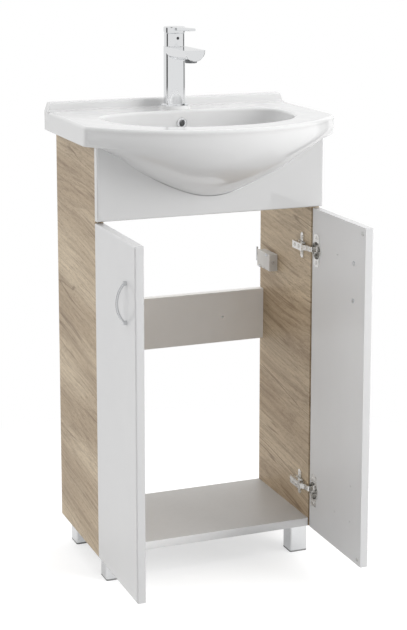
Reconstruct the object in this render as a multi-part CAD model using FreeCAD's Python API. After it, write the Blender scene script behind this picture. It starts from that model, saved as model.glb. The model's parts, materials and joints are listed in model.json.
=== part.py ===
"""Two-door washbasin cabinet on short legs, with a ceramic basin and a single-lever mixer tap.

Sizes are in millimetres. +X is to the right of someone who faces the doors, +Y goes to the wall, +Z is up.
The origin is on the floor, in the middle of the space that the unit takes with both doors open at 90 degrees.
"""
import FreeCAD
import Part
import math
import os

Vector = FreeCAD.Vector

# ---- carcass -----------------------------------------------------------------------------------------------
cabinet_width = 450.0
cabinet_depth = 243.0
side_height = 784.0
board = 16.0
front_panel_height = 139.0
front_edge_round = 3.0
rail_height = 105.0
rail_above_base = 327.5
wall_screw_spacing = 236.0
wall_screw_hole_radius = 3.0

# ---- doors -------------------------------------------------------------------------------------------------
door_height = 641.0
door_meeting_gap = 3.0
closed_gap = 2.5
open_edge_gap = 2.0
open_face_step = 1.5
handle_spacing = 70.0
handle_projection = 20.0
handle_bar_radius = 2.4
handle_foot_radius = 4.0
handle_foot_height = 6.0
handle_from_free_edge = 46.0
handle_below_door_top = 108.0
handle_screw_radius = 2.0
handle_screw_head_radius = 4.2
handle_screw_head_height = 2.2
handle_screw_bite = 4.5
pilot_hole_radius = 1.5
pilot_hole_depth = 6.0
buffer_radius = 4.0
buffer_height = 1.8
buffer_from_edges = 12.0

# ---- concealed hinges --------------------------------------------------------------------------------------
hinge_from_door_end = 80.0
cup_radius = 17.5
cup_depth = 12.0
cup_wall = 0.7
cup_rim_from_edge = 3.5
cup_rim_overlap = 0.5
cup_flange_length = 64.0
cup_flange_width = 22.0
cup_flange_thickness = 1.2
cup_screw_spacing = 48.0
pin_radius = 1.2
pin_eye_radius = 2.1
pin_eye_half_length = 5.0
pin_ear_thickness = 3.0
strip_thickness = 1.5
neck_inset = 5.0
arm_height = 13.4
arm_front = 14.0
arm_length = 46.0
arm_half_width = 7.1
arm_flange_depth = 8.5
plate_setback = 37.0
plate_screw_spacing = 32.0
plate_wing_length = 50.0
plate_wing_width = 12.0
plate_base_length = 32.0
plate_base_width = 16.0
plate_thickness = 2.0
hinge_screw_radius = 2.0
hinge_screw_head_radius = 3.6
hinge_screw_head_height = 1.4
hinge_screw_length = 12.0
screw_head_top_share = 0.75

# ---- joinery -----------------------------------------------------------------------------------------------
cam_radius = 7.5
cam_height = 12.5
cam_slot_half_width = 0.8
cam_slot_depth = 1.2
cam_from_side = 34.0
cam_bolt_radius = 3.0
cam_bolt_bite = 11.0
dowel_radius = 4.0
dowel_length = 30.0
dowel_bite = 12.8
joint_inset = 40.0
rail_joint_inset = 25.0
bracket_leg = 25.0
bracket_width = 18.0
bracket_thickness = 2.0
bracket_above_panel_edge = 22.0

# ---- wall hangers ------------------------------------------------------------------------------------------
hanger_height = 34.0
hanger_above_base = 484.0
hanger_depth = 62.0
hanger_width = 18.0
hanger_from_wall = 24.0
hanger_wall = 2.0
hook_thickness = 2.5
hook_height = 22.0
hook_lip = 7.0
hanger_screw_radius = 3.0

# ---- legs --------------------------------------------------------------------------------------------------
leg_height = 52.0
leg_width = 36.0
leg_wall = 2.5
leg_corner_radius = 3.5
leg_front_inset = 3.0
leg_rear_inset = 11.0
glide_height = 3.0
glide_plug_height = 8.0
leg_screw_radius = 2.0

# ---- basin -------------------------------------------------------------------------------------------------
basin_width = 496.0
rim_thickness = 37.0
basin_front_reach = 150.0
rim_draft = 9.0
wing_front = 16.0
wing_corner_radius = 22.0
rim_edge_radius = 6.0
upstand_height = 17.0
upstand_thickness = 20.0
upstand_round = 6.0
upstand_end_slope = 6.0
drain_from_front = 60.0
drain_radius = 22.5
drain_outlet_radius = 32.0
drain_outlet_drop = 16.0
belly_side_clearance = 2.0
belly_flare = 30.0
belly_depth = 130.0
belly_front_reach = 201.0
belly_from_wall = 61.0
belly_panel_clearance = 1.5
bowl_half_width = 183.0
bowl_front_reach = 152.0
bowl_from_tap = 40.0
bowl_depth = 146.0
bowl_lip_radius = 5.0
overflow_below_rim = 25.0
overflow_radius = 7.0
overflow_channel_radius = 5.0
overflow_duct_wall = 4.0
overflow_ring_radius = 10.0
overflow_ring_thickness = 2.5
overflow_tube_length = 8.0
wall_bolt_spacing = 280.0
wall_bolt_hole_radius = 7.0
wall_bolt_below_rim = 26.0
niche_depth = 24.0
niche_wall = 12.0

# How the basin's level outlines are drawn: points on each, and how square they are (2 is an ellipse).
outline_steps = 28
front_power = 2.217
belly_rear_power = 2.6
bowl_rear_power = 3.2
# Levels of those outlines as shares of the depth below the rim's underside or below its top.
belly_levels = (0.0, 0.06, 0.13, 0.22, 0.35, 0.5, 0.65, 0.8, 0.93)
bowl_levels = (-0.02, 0.1, 0.25, 0.4, 0.55, 0.68, 0.8, 0.89, 0.955, 0.995)
belly_flare_share = 0.23
# How a hollow form draws in with its depth: (inner power, outer power).
belly_side_taper = (1.417, 0.946)
belly_front_taper = (1.507, 0.786)
belly_rear_taper = (2.5, 0.8)
bowl_side_taper = (2.7, 0.9)
bowl_length_taper = (3.0, 0.6)

# ---- tap ---------------------------------------------------------------------------------------------------
tap_from_wall = 55.0
tap_pad_height = 6.0
tap_pad_radius = 28.5
tap_hole_radius = 17.5
tap_deck_thickness = 26.0
tap_ring_radius = 27.0
tap_ring_height = 4.0
tap_body_radius = 21.0
tap_body_height = 111.0
spout_reach = 112.0
spout_radius = 20.4
spout_root_depth = 27.0
spout_tip_depth = 21.0
spout_tip_bevel = 1.0
aerator_from_axis = 90.0
aerator_radius = 11.5
aerator_height = 12.0
aerator_drop = 2.0
head_radius = 20.0
head_height = 26.0
head_gap = 0.5
spigot_radius = 14.0
spigot_length = 12.0
lever_radius = 21.0
lever_height = 11.0
lever_reach = 99.0
lever_tip_rise = 2.5
lever_root_width = 17.0
lever_tip_width = 12.0
lever_tip_thickness = 5.0
lever_bevel = 1.2
lever_lift_degrees = 20.0
lever_pivot_below_head_top = 7.0
lever_neck_half = 6.0
lever_pin_radius = 2.0
plug_radius = 2.8
stud_radius = 4.0
stud_bite = 15.0
clamp_half_width = 24.0
clamp_half_depth = 14.0
clamp_thickness = 3.0
gasket_thickness = 2.0
nut_across_flats = 13.0
nut_height = 8.0

# ---- clearances --------------------------------------------------------------------------------------------
running_clearance = 0.05
fastener_clearance = 0.05
slip_clearance = 0.1

# ---- places that follow from the sizes -----------------------------------------------------------------------
half_width = cabinet_width / 2
inner_half = half_width - board
door_width = (cabinet_width - door_meeting_gap) / 2
door_reach = open_edge_gap + door_width
front_y = (door_reach - cabinet_depth) / 2
back_y = front_y + cabinet_depth
base_z = leg_height
shelf_z = base_z + board
side_top = base_z + side_height
rim_z = side_top + rim_thickness
panel_bottom = side_top - front_panel_height
door_top = base_z + door_height
rail_bottom = base_z + rail_above_base
rail_mid_z = rail_bottom + rail_height / 2

overlay = board - open_face_step
pivot_from_edge = (overlay + closed_gap - open_edge_gap) / 2
pivot_depth = (overlay - closed_gap + open_edge_gap) / 2
pivot_x = inner_half + open_face_step + pivot_depth
pivot_y = front_y - closed_gap - pivot_depth
door_face_x = inner_half + open_face_step
door_outer_x = door_face_x + board
door_edge_y = front_y - open_edge_gap
door_free_y = front_y - door_reach
cup_y = door_edge_y - cup_rim_from_edge - cup_radius
hinge_heights = [base_z + hinge_from_door_end, door_top - hinge_from_door_end]
handle_y = door_free_y + handle_from_free_edge
handle_z = door_top - handle_below_door_top

drain_y = front_y + drain_from_front
tap_y = back_y - tap_from_wall
pad_top = rim_z + tap_pad_height
body_bottom = pad_top + tap_ring_height
body_top = body_bottom + tap_body_height
head_bottom = body_top + head_gap
head_top = head_bottom + head_height
lever_pivot_z = head_top - lever_pivot_below_head_top
lever_bottom = head_top + head_gap
lever_top = lever_bottom + lever_height
deck_underside = pad_top - tap_deck_thickness
bowl_rear_reach = tap_y - bowl_from_tap - drain_y
belly_rear_reach = back_y - belly_from_wall - drain_y


# ---- small builders ------------------------------------------------------------------------------------------
def block(low, high):
    """A box between two opposite corners."""
    size = Vector(*high) - Vector(*low)
    return Part.makeBox(size.x, size.y, size.z, Vector(*low))


def rod(start, direction, radius, length):
    """A cylinder from a point along a direction."""
    return Part.makeCylinder(radius, length, Vector(*start), Vector(*direction))


def other_side(shape):
    """The same shape on the other side of the unit's middle plane."""
    return shape.mirror(Vector(0, 0, 0), Vector(1, 0, 0))


def both_sides(shapes):
    """The given shapes and their mirror images."""
    return list(shapes) + [other_side(shape) for shape in shapes]


def joined(shapes):
    """One solid out of shapes that touch or overlap."""
    first = shapes[0]
    return first.fuse(shapes[1:]).removeSplitter()


def group(shapes):
    """Several separate solids that are kept together."""
    return Part.makeCompound(shapes)


def upright_edges(shape):
    """The straight edges of a shape that run along Z."""
    found = []
    for edge in shape.Edges:
        box = edge.BoundBox
        if box.XLength < 0.01 and box.YLength < 0.01:
            found.append(edge)
    return found


def edges_at_height(shape, height):
    """The edges of a shape that lie in one level plane."""
    found = []
    for edge in shape.Edges:
        box = edge.BoundBox
        if abs(box.ZMin - height) < 0.01 and abs(box.ZMax - height) < 0.01:
            found.append(edge)
    return found


def rounded_wire(corners, closed):
    """A wire of straight runs joined by tangent arcs, from (point, corner radius) pairs."""
    count = len(corners)
    starts = []
    arcs = []
    for index, (point, radius) in enumerate(corners):
        end_corner = not closed and index in (0, count - 1)
        if radius == 0 or end_corner:
            starts.append((point, point))
            arcs.append(None)
            continue
        back = (corners[index - 1][0] - point).normalize()
        ahead = (corners[(index + 1) % count][0] - point).normalize()
        half_angle = back.getAngle(ahead) / 2
        reach = radius / math.tan(half_angle)
        middle_way = (back + ahead).normalize()
        middle = point + middle_way * (radius / math.sin(half_angle) - radius)
        starts.append((point + back * reach, point + ahead * reach))
        arcs.append(Part.Arc(starts[-1][0], middle, starts[-1][1]))
    edges = []
    for index in range(count):
        if arcs[index]:
            edges.append(arcs[index].toShape())
        if index < count - 1 or closed:
            leave = starts[index][1]
            arrive = starts[(index + 1) % count][0]
            if leave.distanceToPoint(arrive) > 1e-6:
                edges.append(Part.LineSegment(leave, arrive).toShape())
    return Part.Wire(edges)


def prism(corners, along):
    """A solid pushed out of a closed outline with rounded corners."""
    return Part.Face(rounded_wire(corners, True)).extrude(along)


def turned(profile, place, direction):
    """A solid of revolution from (radius, height) points, standing at a place along a direction."""
    points = [Vector(radius, 0, height) for radius, height in profile]
    face = Part.Face(Part.makePolygon(points + [points[0]]))
    solid = face.revolve(Vector(0, 0, 0), Vector(0, 0, 1), 360)
    solid.Placement = FreeCAD.Placement(Vector(*place), FreeCAD.Rotation(Vector(0, 0, 1), Vector(*direction)))
    return solid


def pan_screw(seat, inward, head_radius, head_height, shank_radius, length):
    """A screw whose head lies on a seat and whose shank goes inward."""
    profile = [
        (0, -head_height),
        (head_radius * screw_head_top_share, -head_height),
        (head_radius, 0),
        (shank_radius, 0),
        (shank_radius, length),
        (0, length),
    ]
    return turned(profile, seat, inward)


def screw_hole(seat, inward, shank_radius, length):
    """The hole that a pan screw needs."""
    return rod(seat, inward, shank_radius + fastener_clearance, length + fastener_clearance)


def egg_wire(half_width, centre_y, front_reach, rear_reach, height, rear_power):
    """A level closed curve, round in front of its centre and squarer behind it."""
    points = []
    for step in range(outline_steps):
        angle = 2 * math.pi * (step + 0.5) / outline_steps
        across = math.cos(angle)
        along = math.sin(angle)
        power = rear_power if along > 0 else front_power
        reach = rear_reach if along > 0 else front_reach
        x = half_width * math.copysign(abs(across) ** (2 / power), across)
        y = centre_y + reach * math.copysign(abs(along) ** (2 / power), along)
        points.append(Vector(x, y, height))
    curve = Part.BSplineCurve()
    curve.interpolate(Points=points, PeriodicFlag=True)
    return Part.Wire(curve.toShape())


# ---- carcass -----------------------------------------------------------------------------------------------
def side_panel_right():
    """Side panel with bores for the cam bolts, dowels and screws that enter its inner face."""
    panel = block((inner_half, front_y, base_z), (half_width, back_y, side_top))
    bores = [rod(place, (1, 0, 0), cam_bolt_radius + fastener_clearance, cam_bolt_bite) for place in cam_seats()]
    bores += [dowel_hole(place, (1, 0, 0)) for place in side_dowel_seats()]
    bores += [dowel_hole(place, (0, 1, 0)) for place in panel_dowel_seats()]
    bores += [screw_hole(*spec) for spec in side_screws()]
    return panel.cut(bores)


def cam_seats():
    """Where cam bolts enter the right side panel's inner face."""
    bottom_z = base_z + board / 2
    rail_y = back_y - board / 2
    seats = [(inner_half, y, bottom_z) for y in (front_y + joint_inset, back_y - joint_inset)]
    seats += [(inner_half, rail_y, rail_mid_z + step) for step in (-rail_joint_inset, rail_joint_inset)]
    return seats


def side_dowel_seats():
    """Where dowels enter the right side panel's inner face."""
    bottom_z = base_z + board / 2
    bottom_y = front_y + cabinet_depth / 2
    return [(inner_half, bottom_y, bottom_z), (inner_half, back_y - board / 2, rail_mid_z)]


def panel_dowel_seats():
    """Where dowels of the front panel enter the right side panel's front edge."""
    x = inner_half + board / 2
    low = panel_bottom + joint_inset / 2
    return [(x, front_y, low), (x, front_y, low + joint_inset)]


def dowel_hole(place, direction):
    """Half of a dowel's bore, from the joint plane along one direction."""
    return rod(place, direction, dowel_radius + fastener_clearance, dowel_bite)


def dowel(place, direction):
    """A dowel that passes through a joint plane, most of it on the far side of the side panel."""
    axis = Vector(*direction)
    start = Vector(*place) - axis * (dowel_length - dowel_bite + slip_clearance)
    return Part.makeCylinder(dowel_radius, dowel_length, start, axis)


def dowel_bore_behind(place, direction):
    """The other part of a dowel's bore, in the piece that meets the side panel."""
    axis = Vector(*direction)
    length = dowel_length - dowel_bite + 2 * slip_clearance
    return Part.makeCylinder(dowel_radius + fastener_clearance, length, Vector(*place) - axis * length, axis)


def dowels():
    """Wooden dowels of the bottom panel and the back rail."""
    return group(both_sides([dowel(place, (1, 0, 0)) for place in side_dowel_seats()]))


def panel_pins():
    """Short dowels between the front panel and the side panels' front edges."""
    pins = []
    for x, y, z in panel_dowel_seats():
        pins.append(rod((x, y - board / 2, z), (0, 1, 0), dowel_radius, board / 2 + dowel_bite - slip_clearance))
    return group(both_sides(pins))


def cam_fitting(seat, opening_way):
    """One cam lock, the bolt that it pulls and the cuts that both need."""
    x, y, z = seat
    centre = Vector(x - cam_from_side, y, z) + Vector(*opening_way) * (board / 2)
    bolt_length = cam_from_side + cam_bolt_bite - slip_clearance
    bolt = rod((x - cam_from_side, y, z), (1, 0, 0), cam_bolt_radius, bolt_length)
    lock = Part.makeCylinder(cam_radius, cam_height, centre, Vector(*opening_way) * -1)
    bore = rod((x - cam_from_side - cam_radius, y, z), (1, 0, 0), cam_bolt_radius + fastener_clearance,
               cam_from_side + cam_radius)
    pocket = Part.makeCylinder(cam_radius + fastener_clearance, cam_height + fastener_clearance, centre,
                               Vector(*opening_way) * -1)
    slot = block((-cam_radius, -cam_slot_half_width, -cam_slot_depth), (cam_radius, cam_slot_half_width, 0))
    slot.Placement = FreeCAD.Placement(centre, FreeCAD.Rotation(Vector(0, 0, 1), Vector(*opening_way)))
    return {"lock": lock.cut([bore, slot]), "bolt": bolt, "bore": bore, "pocket": pocket}


def cam_fittings():
    """All cam fittings on the right: those of the bottom panel open downward, those of the rail to the wall."""
    bottom = [cam_fitting(seat, (0, 0, -1)) for seat in cam_seats()[:2]]
    rail = [cam_fitting(seat, (0, 1, 0)) for seat in cam_seats()[2:]]
    return bottom, rail


def cam_locks():
    """The visible discs of the cam fittings."""
    bottom, rail = cam_fittings()
    return group(both_sides([fitting["lock"] for fitting in bottom + rail]))


def cam_bolts():
    """The bolts of the cam fittings."""
    bottom, rail = cam_fittings()
    return group(both_sides([fitting["bolt"] for fitting in bottom + rail]))


def bottom_panel():
    """Bottom panel between the sides, with cam pockets in its underside."""
    panel = block((-inner_half, front_y, base_z), (inner_half, back_y, shelf_z))
    cuts = []
    for fitting in cam_fittings()[0]:
        cuts += [fitting["bore"], fitting["pocket"]]
    cuts.append(dowel_bore_behind(side_dowel_seats()[0], (1, 0, 0)))
    cuts += [screw_hole(*spec) for spec in leg_screw_specs()]
    return panel.cut(both_sides(cuts))


def back_rail():
    """Rail at the wall with two screw holes and cam pockets in its rear face."""
    panel = block((-inner_half, back_y - board, rail_bottom), (inner_half, back_y, rail_bottom + rail_height))
    cuts = []
    for fitting in cam_fittings()[1]:
        cuts += [fitting["bore"], fitting["pocket"]]
    cuts.append(dowel_bore_behind(side_dowel_seats()[1], (1, 0, 0)))
    cuts.append(rod((wall_screw_spacing / 2, back_y, rail_mid_z), (0, -1, 0), wall_screw_hole_radius, board))
    return panel.cut(both_sides(cuts))


def front_panel():
    """Fixed panel over the doors, cut out round the basin's belly."""
    panel = block((-half_width, front_y - board, panel_bottom), (half_width, front_y, side_top))
    front_edges = [edge for edge in panel.Edges if edge.BoundBox.YMax < front_y - board + 0.01]
    top_edge = [edge for edge in front_edges if edge.BoundBox.ZMin > side_top - 0.01]
    rounded = [edge for edge in front_edges if edge not in top_edge]
    panel = panel.makeFillet(front_edge_round, [edge for edge in rounded if edge.BoundBox.ZMin < side_top - 0.01])
    cuts = [belly(belly_panel_clearance)]
    for x, y, z in panel_dowel_seats():
        bore = rod((x, y, z), (0, -1, 0), dowel_radius + fastener_clearance, board / 2 + slip_clearance)
        cuts += both_sides([bore])
    cuts += both_sides([screw_hole(*bracket_screws()[1])])
    return panel.cut(cuts)


def bracket_z():
    """Height of the corner brackets' middle."""
    return panel_bottom + bracket_above_panel_edge


def bracket_screws():
    """Screws of the right corner bracket: one into the side panel, one into the front panel."""
    reach = bracket_leg * 0.6
    into_side = ((inner_half - bracket_thickness, front_y + reach, bracket_z()), (1, 0, 0),
                 hinge_screw_radius, hinge_screw_length)
    into_panel = ((inner_half - reach, front_y + bracket_thickness, bracket_z()), (0, -1, 0),
                  hinge_screw_radius, hinge_screw_length)
    return [into_side, into_panel]


def corner_brackets():
    """Angle brackets that hold the front panel from behind."""
    low = bracket_z() - bracket_width / 2
    outline = [
        (Vector(inner_half, front_y, low), 0),
        (Vector(inner_half, front_y + bracket_leg, low), 0),
        (Vector(inner_half - bracket_thickness, front_y + bracket_leg, low), 0),
        (Vector(inner_half - bracket_thickness, front_y + bracket_thickness, low), 1.0),
        (Vector(inner_half - bracket_leg, front_y + bracket_thickness, low), 0),
        (Vector(inner_half - bracket_leg, front_y, low), 0),
    ]
    bracket = prism(outline, Vector(0, 0, bracket_width))
    bracket = bracket.cut([screw_hole(*spec) for spec in bracket_screws()])
    return group(both_sides([bracket]))


def full_screw(spec):
    """A pan screw with the common small head, from a hole's place, way, radius and length."""
    seat, inward, radius, length = spec
    return pan_screw(seat, inward, hinge_screw_head_radius, hinge_screw_head_height, radius, length)


def bracket_fasteners():
    """Screws of the corner brackets."""
    return group(both_sides([full_screw(spec) for spec in bracket_screws()]))


# ---- wall hangers ------------------------------------------------------------------------------------------
def hanger_box():
    """Low and high corner of the right hanger housing."""
    low = (inner_half - hanger_width, back_y - hanger_from_wall - hanger_depth, base_z + hanger_above_base)
    high = (inner_half, back_y - hanger_from_wall, base_z + hanger_above_base + hanger_height)
    return low, high


def hanger_hook_outline(grow):
    """Side view of the hook: a flat bar that ends in an upturned lip behind the housing."""
    low, high = hanger_box()
    middle = (low[2] + high[2]) / 2
    bottom = middle - hook_height / 2 - grow
    top = middle + hook_height / 2 + grow
    front = low[1] + hanger_wall * 3 - grow
    rear = back_y - hanger_wall
    notch = rear - hanger_wall * 2
    x = inner_half - hanger_width / 2 - hook_thickness / 2 - grow
    return [
        (Vector(x, front, bottom), 0),
        (Vector(x, rear, bottom), 0),
        (Vector(x, rear, top + hook_lip), 0),
        (Vector(x, notch, top + hook_lip), 0),
        (Vector(x, notch, middle), 1.0),
        (Vector(x, high[1], middle), 1.0),
        (Vector(x, high[1] - hanger_wall, top), 0),
        (Vector(x, front, top), 0),
    ]


def hanger_hook():
    """Steel hook of the right hanger."""
    return prism(hanger_hook_outline(0), Vector(hook_thickness, 0, 0))


def hanger_side_screws():
    """Screws that fasten the right hanger to the side panel."""
    low, high = hanger_box()
    middle = (low[2] + high[2]) / 2
    seat_x = inner_half - hanger_width
    return [
        ((seat_x, low[1] + hanger_depth * share, middle + shift), (1, 0, 0), hanger_screw_radius * 0.7,
         hanger_width + cam_bolt_bite)
        for share, shift in ((0.22, hanger_height * 0.42), (0.78, -hanger_height * 0.42))
    ]


def hanger_front_screw():
    """Adjusting screw in the right hanger's front face."""
    low, high = hanger_box()
    middle = (low[2] + high[2]) / 2
    return ((inner_half - hanger_width / 2, low[1], middle), (0, 1, 0), hanger_screw_radius, hanger_wall * 3)


def hanger_housing():
    """Plastic housing of the right hanger, with a slot for its hook."""
    low, high = hanger_box()
    housing = block(low, high)
    outer_edges = [edge for edge in housing.Edges if edge.BoundBox.XMax < inner_half - 0.01]
    housing = housing.makeFillet(hanger_wall, outer_edges)
    slot = prism(hanger_hook_outline(slip_clearance), Vector(hook_thickness + 2 * slip_clearance, 0, 0))
    notch_z = low[2]
    notches = []
    for share in (0.35, 0.65):
        y = low[1] + hanger_depth * share
        notches.append(block((low[0], y - hanger_wall, notch_z), (low[0] + hanger_wall, y + hanger_wall,
                                                                 notch_z + 2 * hanger_wall)))
    cuts = [slot] + notches + [screw_hole(*spec) for spec in hanger_side_screws() + [hanger_front_screw()]]
    return housing.cut(cuts)


def hanger_screws():
    """Adjusting and fixing screws of both hangers."""
    screws = [full_screw(spec) for spec in hanger_side_screws()]
    seat, inward, radius, length = hanger_front_screw()
    screws.append(pan_screw(seat, inward, hanger_screw_radius + 1, hinge_screw_head_height, radius, length))
    return group(both_sides(screws))


# ---- legs --------------------------------------------------------------------------------------------------
def leg_corner(is_rear):
    """Front inner corner of a right leg."""
    y = back_y - leg_rear_inset - leg_width if is_rear else front_y + leg_front_inset
    return inner_half - leg_width, y


def leg_screw_specs():
    """Screws from inside the right legs up into the bottom panel."""
    specs = []
    for is_rear in (False, True):
        x, y = leg_corner(is_rear)
        for share in (0.3, 0.7):
            seat = (x + leg_width * share, y + leg_width / 2, base_z - 2 * leg_wall)
            specs.append((seat, (0, 0, 1), leg_screw_radius, 2 * leg_wall + board * 0.7))
    return specs


def leg(is_rear):
    """Square hollow leg on the right, open below, with a thick top that takes the screws."""
    x, y = leg_corner(is_rear)
    outer = block((x, y, glide_height), (x + leg_width, y + leg_width, base_z))
    outer = outer.makeFillet(leg_corner_radius, upright_edges(outer))
    inner = block((x + leg_wall, y + leg_wall, glide_height),
                  (x + leg_width - leg_wall, y + leg_width - leg_wall, base_z - 2 * leg_wall))
    inner = inner.makeFillet(leg_corner_radius - leg_wall, upright_edges(inner))
    first = 2 if is_rear else 0
    holes = [screw_hole(*spec) for spec in leg_screw_specs()[first:first + 2]]
    return outer.cut([inner] + holes)


def leg_glides():
    """Plastic glides plugged into the four legs."""
    glides = []
    for is_rear in (False, True):
        x, y = leg_corner(is_rear)
        foot = block((x, y, 0), (x + leg_width, y + leg_width, glide_height))
        foot = foot.makeFillet(leg_corner_radius, upright_edges(foot))
        inset = leg_wall + slip_clearance
        plug = block((x + inset, y + inset, glide_height),
                     (x + leg_width - inset, y + leg_width - inset, glide_height + glide_plug_height))
        plug = plug.makeFillet(leg_corner_radius - leg_wall, upright_edges(plug))
        glides.append(joined([foot, plug]))
    return group(both_sides(glides))


def leg_screws():
    """Screws of the legs."""
    return group(both_sides([full_screw(spec) for spec in leg_screw_specs()]))


# ---- doors -------------------------------------------------------------------------------------------------
def cup_screw_specs():
    """Screws that hold the cups of the right door."""
    specs = []
    for height in hinge_heights:
        for step in (-cup_screw_spacing / 2, cup_screw_spacing / 2):
            seat = (door_face_x - cup_flange_thickness, cup_y, height + step)
            specs.append((seat, (1, 0, 0), hinge_screw_radius, hinge_screw_length))
    return specs


def handle_screw_specs():
    """Screws that hold the handle of the right door, from its inner face."""
    length = board + handle_screw_bite
    seats = [(door_face_x, handle_y, handle_z + step) for step in (-handle_spacing / 2, handle_spacing / 2)]
    return [(seat, (1, 0, 0), handle_screw_radius, length) for seat in seats]


def door_right():
    """Right door, open at 90 degrees: outer and turning edges rounded, cup, handle and pilot bores."""
    panel = block((door_face_x, door_free_y, base_z), (door_outer_x, door_edge_y, door_top))
    outer_edges = [edge for edge in panel.Edges if edge.BoundBox.XMin > door_outer_x - 0.01]
    turning_edges = [edge for edge in upright_edges(panel)
                     if edge.BoundBox.YMin > door_edge_y - 0.01 and edge.BoundBox.XMax < door_face_x + 0.01]
    panel = panel.makeFillet(front_edge_round, outer_edges + turning_edges)
    cuts = []
    for height in hinge_heights:
        cuts.append(rod((door_face_x, cup_y, height), (1, 0, 0), cup_radius + fastener_clearance,
                        cup_depth + fastener_clearance))
    cuts += [screw_hole(*spec) for spec in cup_screw_specs() + handle_screw_specs()]
    mirror_height = base_z + door_top - handle_z
    middle_y = (door_free_y + door_edge_y) / 2
    pilot_places = [(handle_y, mirror_height - handle_spacing / 2), (handle_y, mirror_height + handle_spacing / 2)]
    pilot_places += [(middle_y, base_z + handle_spacing), (middle_y, door_top - handle_spacing)]
    for y, z in pilot_places:
        cuts.append(rod((door_face_x, y, z), (1, 0, 0), pilot_hole_radius, pilot_hole_depth))
    return panel.cut(cuts)


def handle_right():
    """Bow handle: an arched round bar on two short feet."""
    feet = []
    for step in (-handle_spacing / 2, handle_spacing / 2):
        feet.append(rod((door_outer_x, handle_y, handle_z + step), (1, 0, 0), handle_foot_radius,
                        handle_foot_height))
    root = door_outer_x + handle_foot_height - handle_bar_radius
    crown = door_outer_x + handle_projection - handle_bar_radius
    half_chord = handle_spacing / 2
    rise = crown - root
    bow_radius = (half_chord ** 2 + rise ** 2) / (2 * rise)
    half_angle = math.asin(half_chord / bow_radius)
    low = Vector(root, handle_y, handle_z - half_chord)
    along = Vector(math.sin(half_angle), 0, math.cos(half_angle))
    section = Part.Face(Part.Wire(Part.makeCircle(handle_bar_radius, low, along)))
    centre = Vector(crown - bow_radius, handle_y, handle_z)
    bar = section.revolve(centre, Vector(0, -1, 0), math.degrees(2 * half_angle))
    sockets = [screw_hole(*spec) for spec in handle_screw_specs()]
    return joined(feet + [bar]).cut(sockets)


def handle_screws_right():
    """Machine screws of the right handle."""
    screws = []
    for seat, inward, radius, length in handle_screw_specs():
        screws.append(pan_screw(seat, inward, handle_screw_head_radius, handle_screw_head_height, radius, length))
    return group(screws)


def door_buffers_right():
    """Two soft buffers near the free edge that meet the bottom panel's edge and the front panel's reach."""
    buffers = []
    y = door_free_y + buffer_from_edges
    for z in (base_z + buffer_from_edges, door_top - buffer_from_edges):
        profile = [(0, 0), (buffer_radius, 0), (buffer_radius * 0.8, buffer_height), (0, buffer_height)]
        buffers.append(turned(profile, (door_face_x, y, z), (-1, 0, 0)))
    return group(buffers)


# ---- concealed hinges on the right ---------------------------------------------------------------------------
def hinge_cup(height):
    """Steel cup with flange, and inside it the two ears that hold the pivot pin."""
    centre = (door_face_x, cup_y, height)
    inner_radius = cup_radius - cup_wall
    shell = rod(centre, (1, 0, 0), cup_radius, cup_depth)
    rim = rod(centre, (-1, 0, 0), cup_radius + cup_rim_overlap, cup_flange_thickness)
    half_length = cup_flange_length / 2
    half_flange = cup_flange_width / 2
    corner = half_flange * 0.6
    outline = [
        (Vector(door_face_x, cup_y + side * half_flange, height + end * half_length), corner)
        for side, end in ((-1, -1), (1, -1), (1, 1), (-1, 1))
    ]
    flange = prism(outline, Vector(-cup_flange_thickness, 0, 0))
    hollow = rod((door_face_x - cup_flange_thickness, cup_y, height), (1, 0, 0), inner_radius,
                 cup_depth + cup_flange_thickness - cup_wall)
    ears = []
    ear_y = door_edge_y - pivot_from_edge
    for side in (-1, 1):
        near = height + side * (pin_eye_half_length + slip_clearance * 2)
        far = near + side * pin_ear_thickness
        ear = block((door_face_x + pivot_depth - 2 * pin_radius - cup_wall, ear_y - 3 * pin_radius, min(near, far)),
                    (door_face_x + cup_depth - cup_wall, door_edge_y, max(near, far)))
        ears.append(ear.common(shell))
    pin_bore = rod((pivot_x, pivot_y, height - hinge_pin_half_length()), (0, 0, 1), pin_radius,
                   2 * hinge_pin_half_length())
    holes = [screw_hole(*spec) for spec in cup_screw_specs()]
    return joined([joined([shell, rim, flange]).cut(hollow)] + ears).cut([pin_bore] + holes)


def hinge_pin_half_length():
    """Half the length of a pivot pin."""
    return pin_eye_half_length + slip_clearance * 2 + pin_ear_thickness * 0.8


def hinge_pin(height):
    """Pivot pin, pressed into the ears of its cup."""
    half = hinge_pin_half_length()
    return rod((pivot_x, pivot_y, height - half), (0, 0, 1), pin_radius, 2 * half)


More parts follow.
